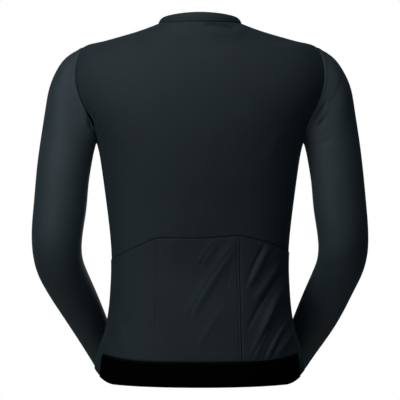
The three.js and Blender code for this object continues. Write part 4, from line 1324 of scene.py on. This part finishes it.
trim_stitches = join_arcs("trim_stitches", trim_lines)

# %% [markdown]
# A bar tack is a tight row of zigzag stitches where a seam takes load: at the top of the pocket
# seams, and low on the centre pocket. Each is a few millimetres of very short steps across a line.

# %% Bar tacks
def bar_tack(x0, z0, x1, z1, width):
    """Zigzag from side to side of a short line on the pockets, one arc for each crossing."""
    steps = max(4, int(math.hypot(x1 - x0, z1 - z0) / 0.45))
    share = np.linspace(0, 1, steps + 1)
    swing = np.where(np.arange(steps + 1) % 2, 0.5, -0.5) * width
    length = math.hypot(x1 - x0, z1 - z0)
    x = x0 + (x1 - x0) * share - (z1 - z0) / length * swing
    z = z0 + (z1 - z0) * share + (x1 - x0) / length * swing
    run = run_at_height(z)
    angle = -np.arccos(x / body_at(run)[..., 3])
    top = run_at_height(mouth_height(x))
    path, normal = body_path(angle, run, pocket_height(angle, run, top) + 0.05)
    return arcs(path[:-1], path[1:], unit(normal[:-1] + normal[1:]))


bar_tacks = join_arcs("bar_tacks", [
    bar_tack(-83, -389.5, -73.5, -387, 1.8),
    bar_tack(66.5, -386, 66.8, -394, 1.8),
    bar_tack(1, -591.5, 20, -591.5, 1.4),
])

# %% [markdown]
# ## What each piece stands for
#
# Every piece rides on the body of the CAD model that it belongs to, and hides the CAD node that it
# replaces. Each sheet of cloth also states the flat size that it was cut to. A knit is cut smaller
# than the form that it covers, and the tubes are measured all round.

# %% Bodies, nodes and cut sizes
plan = [
    (back_panel, "garment", ["back"], "jersey_knit"),
    (front_panels["front_right_panel"], "garment", ["front_right"], "jersey_knit"),
    (front_panels["front_left_panel"], "garment", ["front_left"], "jersey_knit"),
    (sleeves["right_sleeve"], "garment", ["sleeve_right", "forearm_right"], "sleeve_knit"),
    (sleeves["left_sleeve"], "garment", ["sleeve_left", "forearm_left"], "sleeve_knit"),
    (pockets["left_pocket"], "garment", ["pocket_left"], "jersey_knit"),
    (pockets["centre_pocket"], "garment", ["pocket_centre"], "jersey_knit"),
    (pockets["right_pocket"], "garment", ["pocket_right"], "jersey_knit"),
    (gripper_band, "garment", ["hem_gripper"], "gripper_elastic"),
    (stand_collar, "garment", ["collar"], "jersey_knit"),
    (zip_strip, "garment", ["zip_tape"], "zip_tape"),
    (zip_teeth, "garment", [], "zip_tape"),
    (slider_body, "garment", ["zip_slider"], "zip_metal"),
    (pull_tab, "pull", ["zip_pull"], "zip_metal"),
    (pocket_stitches, "garment", [], "jersey_knit"),
    (trim_stitches, "garment", [], "jersey_knit"),
    (bar_tacks, "garment", [], "jersey_knit"),
]
for piece, body, nodes, slot in plan:
    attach(piece, body)
    if nodes:
        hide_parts(*nodes)


def cloth_area(piece):
    """Half the surface of a closed wall, in square metres."""
    areas = np.empty(len(piece.data.polygons))
    piece.data.polygons.foreach_get("area", areas)
    return areas.sum() / 2


# Columns: piece, width and length of the cut in metres, its area in square metres where it isn't
# their product, and the pieces that go with it
cuts = [
    (back_panel, 0.47, 0.62, 0.235, [bar_tacks]),
    (front_panels["front_right_panel"], 0.24, 0.58, 0.112, []),
    (front_panels["front_left_panel"], 0.24, 0.58, 0.112, []),
    (sleeves["right_sleeve"], 0.36, 0.67, 0.155, []),
    (sleeves["left_sleeve"], 0.36, 0.67, 0.155, []),
    (pockets["left_pocket"], 0.14, 0.22, 0.022, []),
    (pockets["centre_pocket"], 0.155, 0.22, 0.031, [pocket_stitches]),
    (pockets["right_pocket"], 0.16, 0.22, 0.026, []),
    (gripper_band, 0.36, 0.04, None, []),
    (stand_collar, 0.42, 0.026, None, [trim_stitches]),
    (zip_strip, 0.01, 0.59, None, [zip_teeth]),
]
for piece, width, length, area, extras in cuts:
    flat = area or width * length
    print(f"{piece.name}: cloth {cloth_area(piece):.4f} m2, cut {flat:.4f} m2")
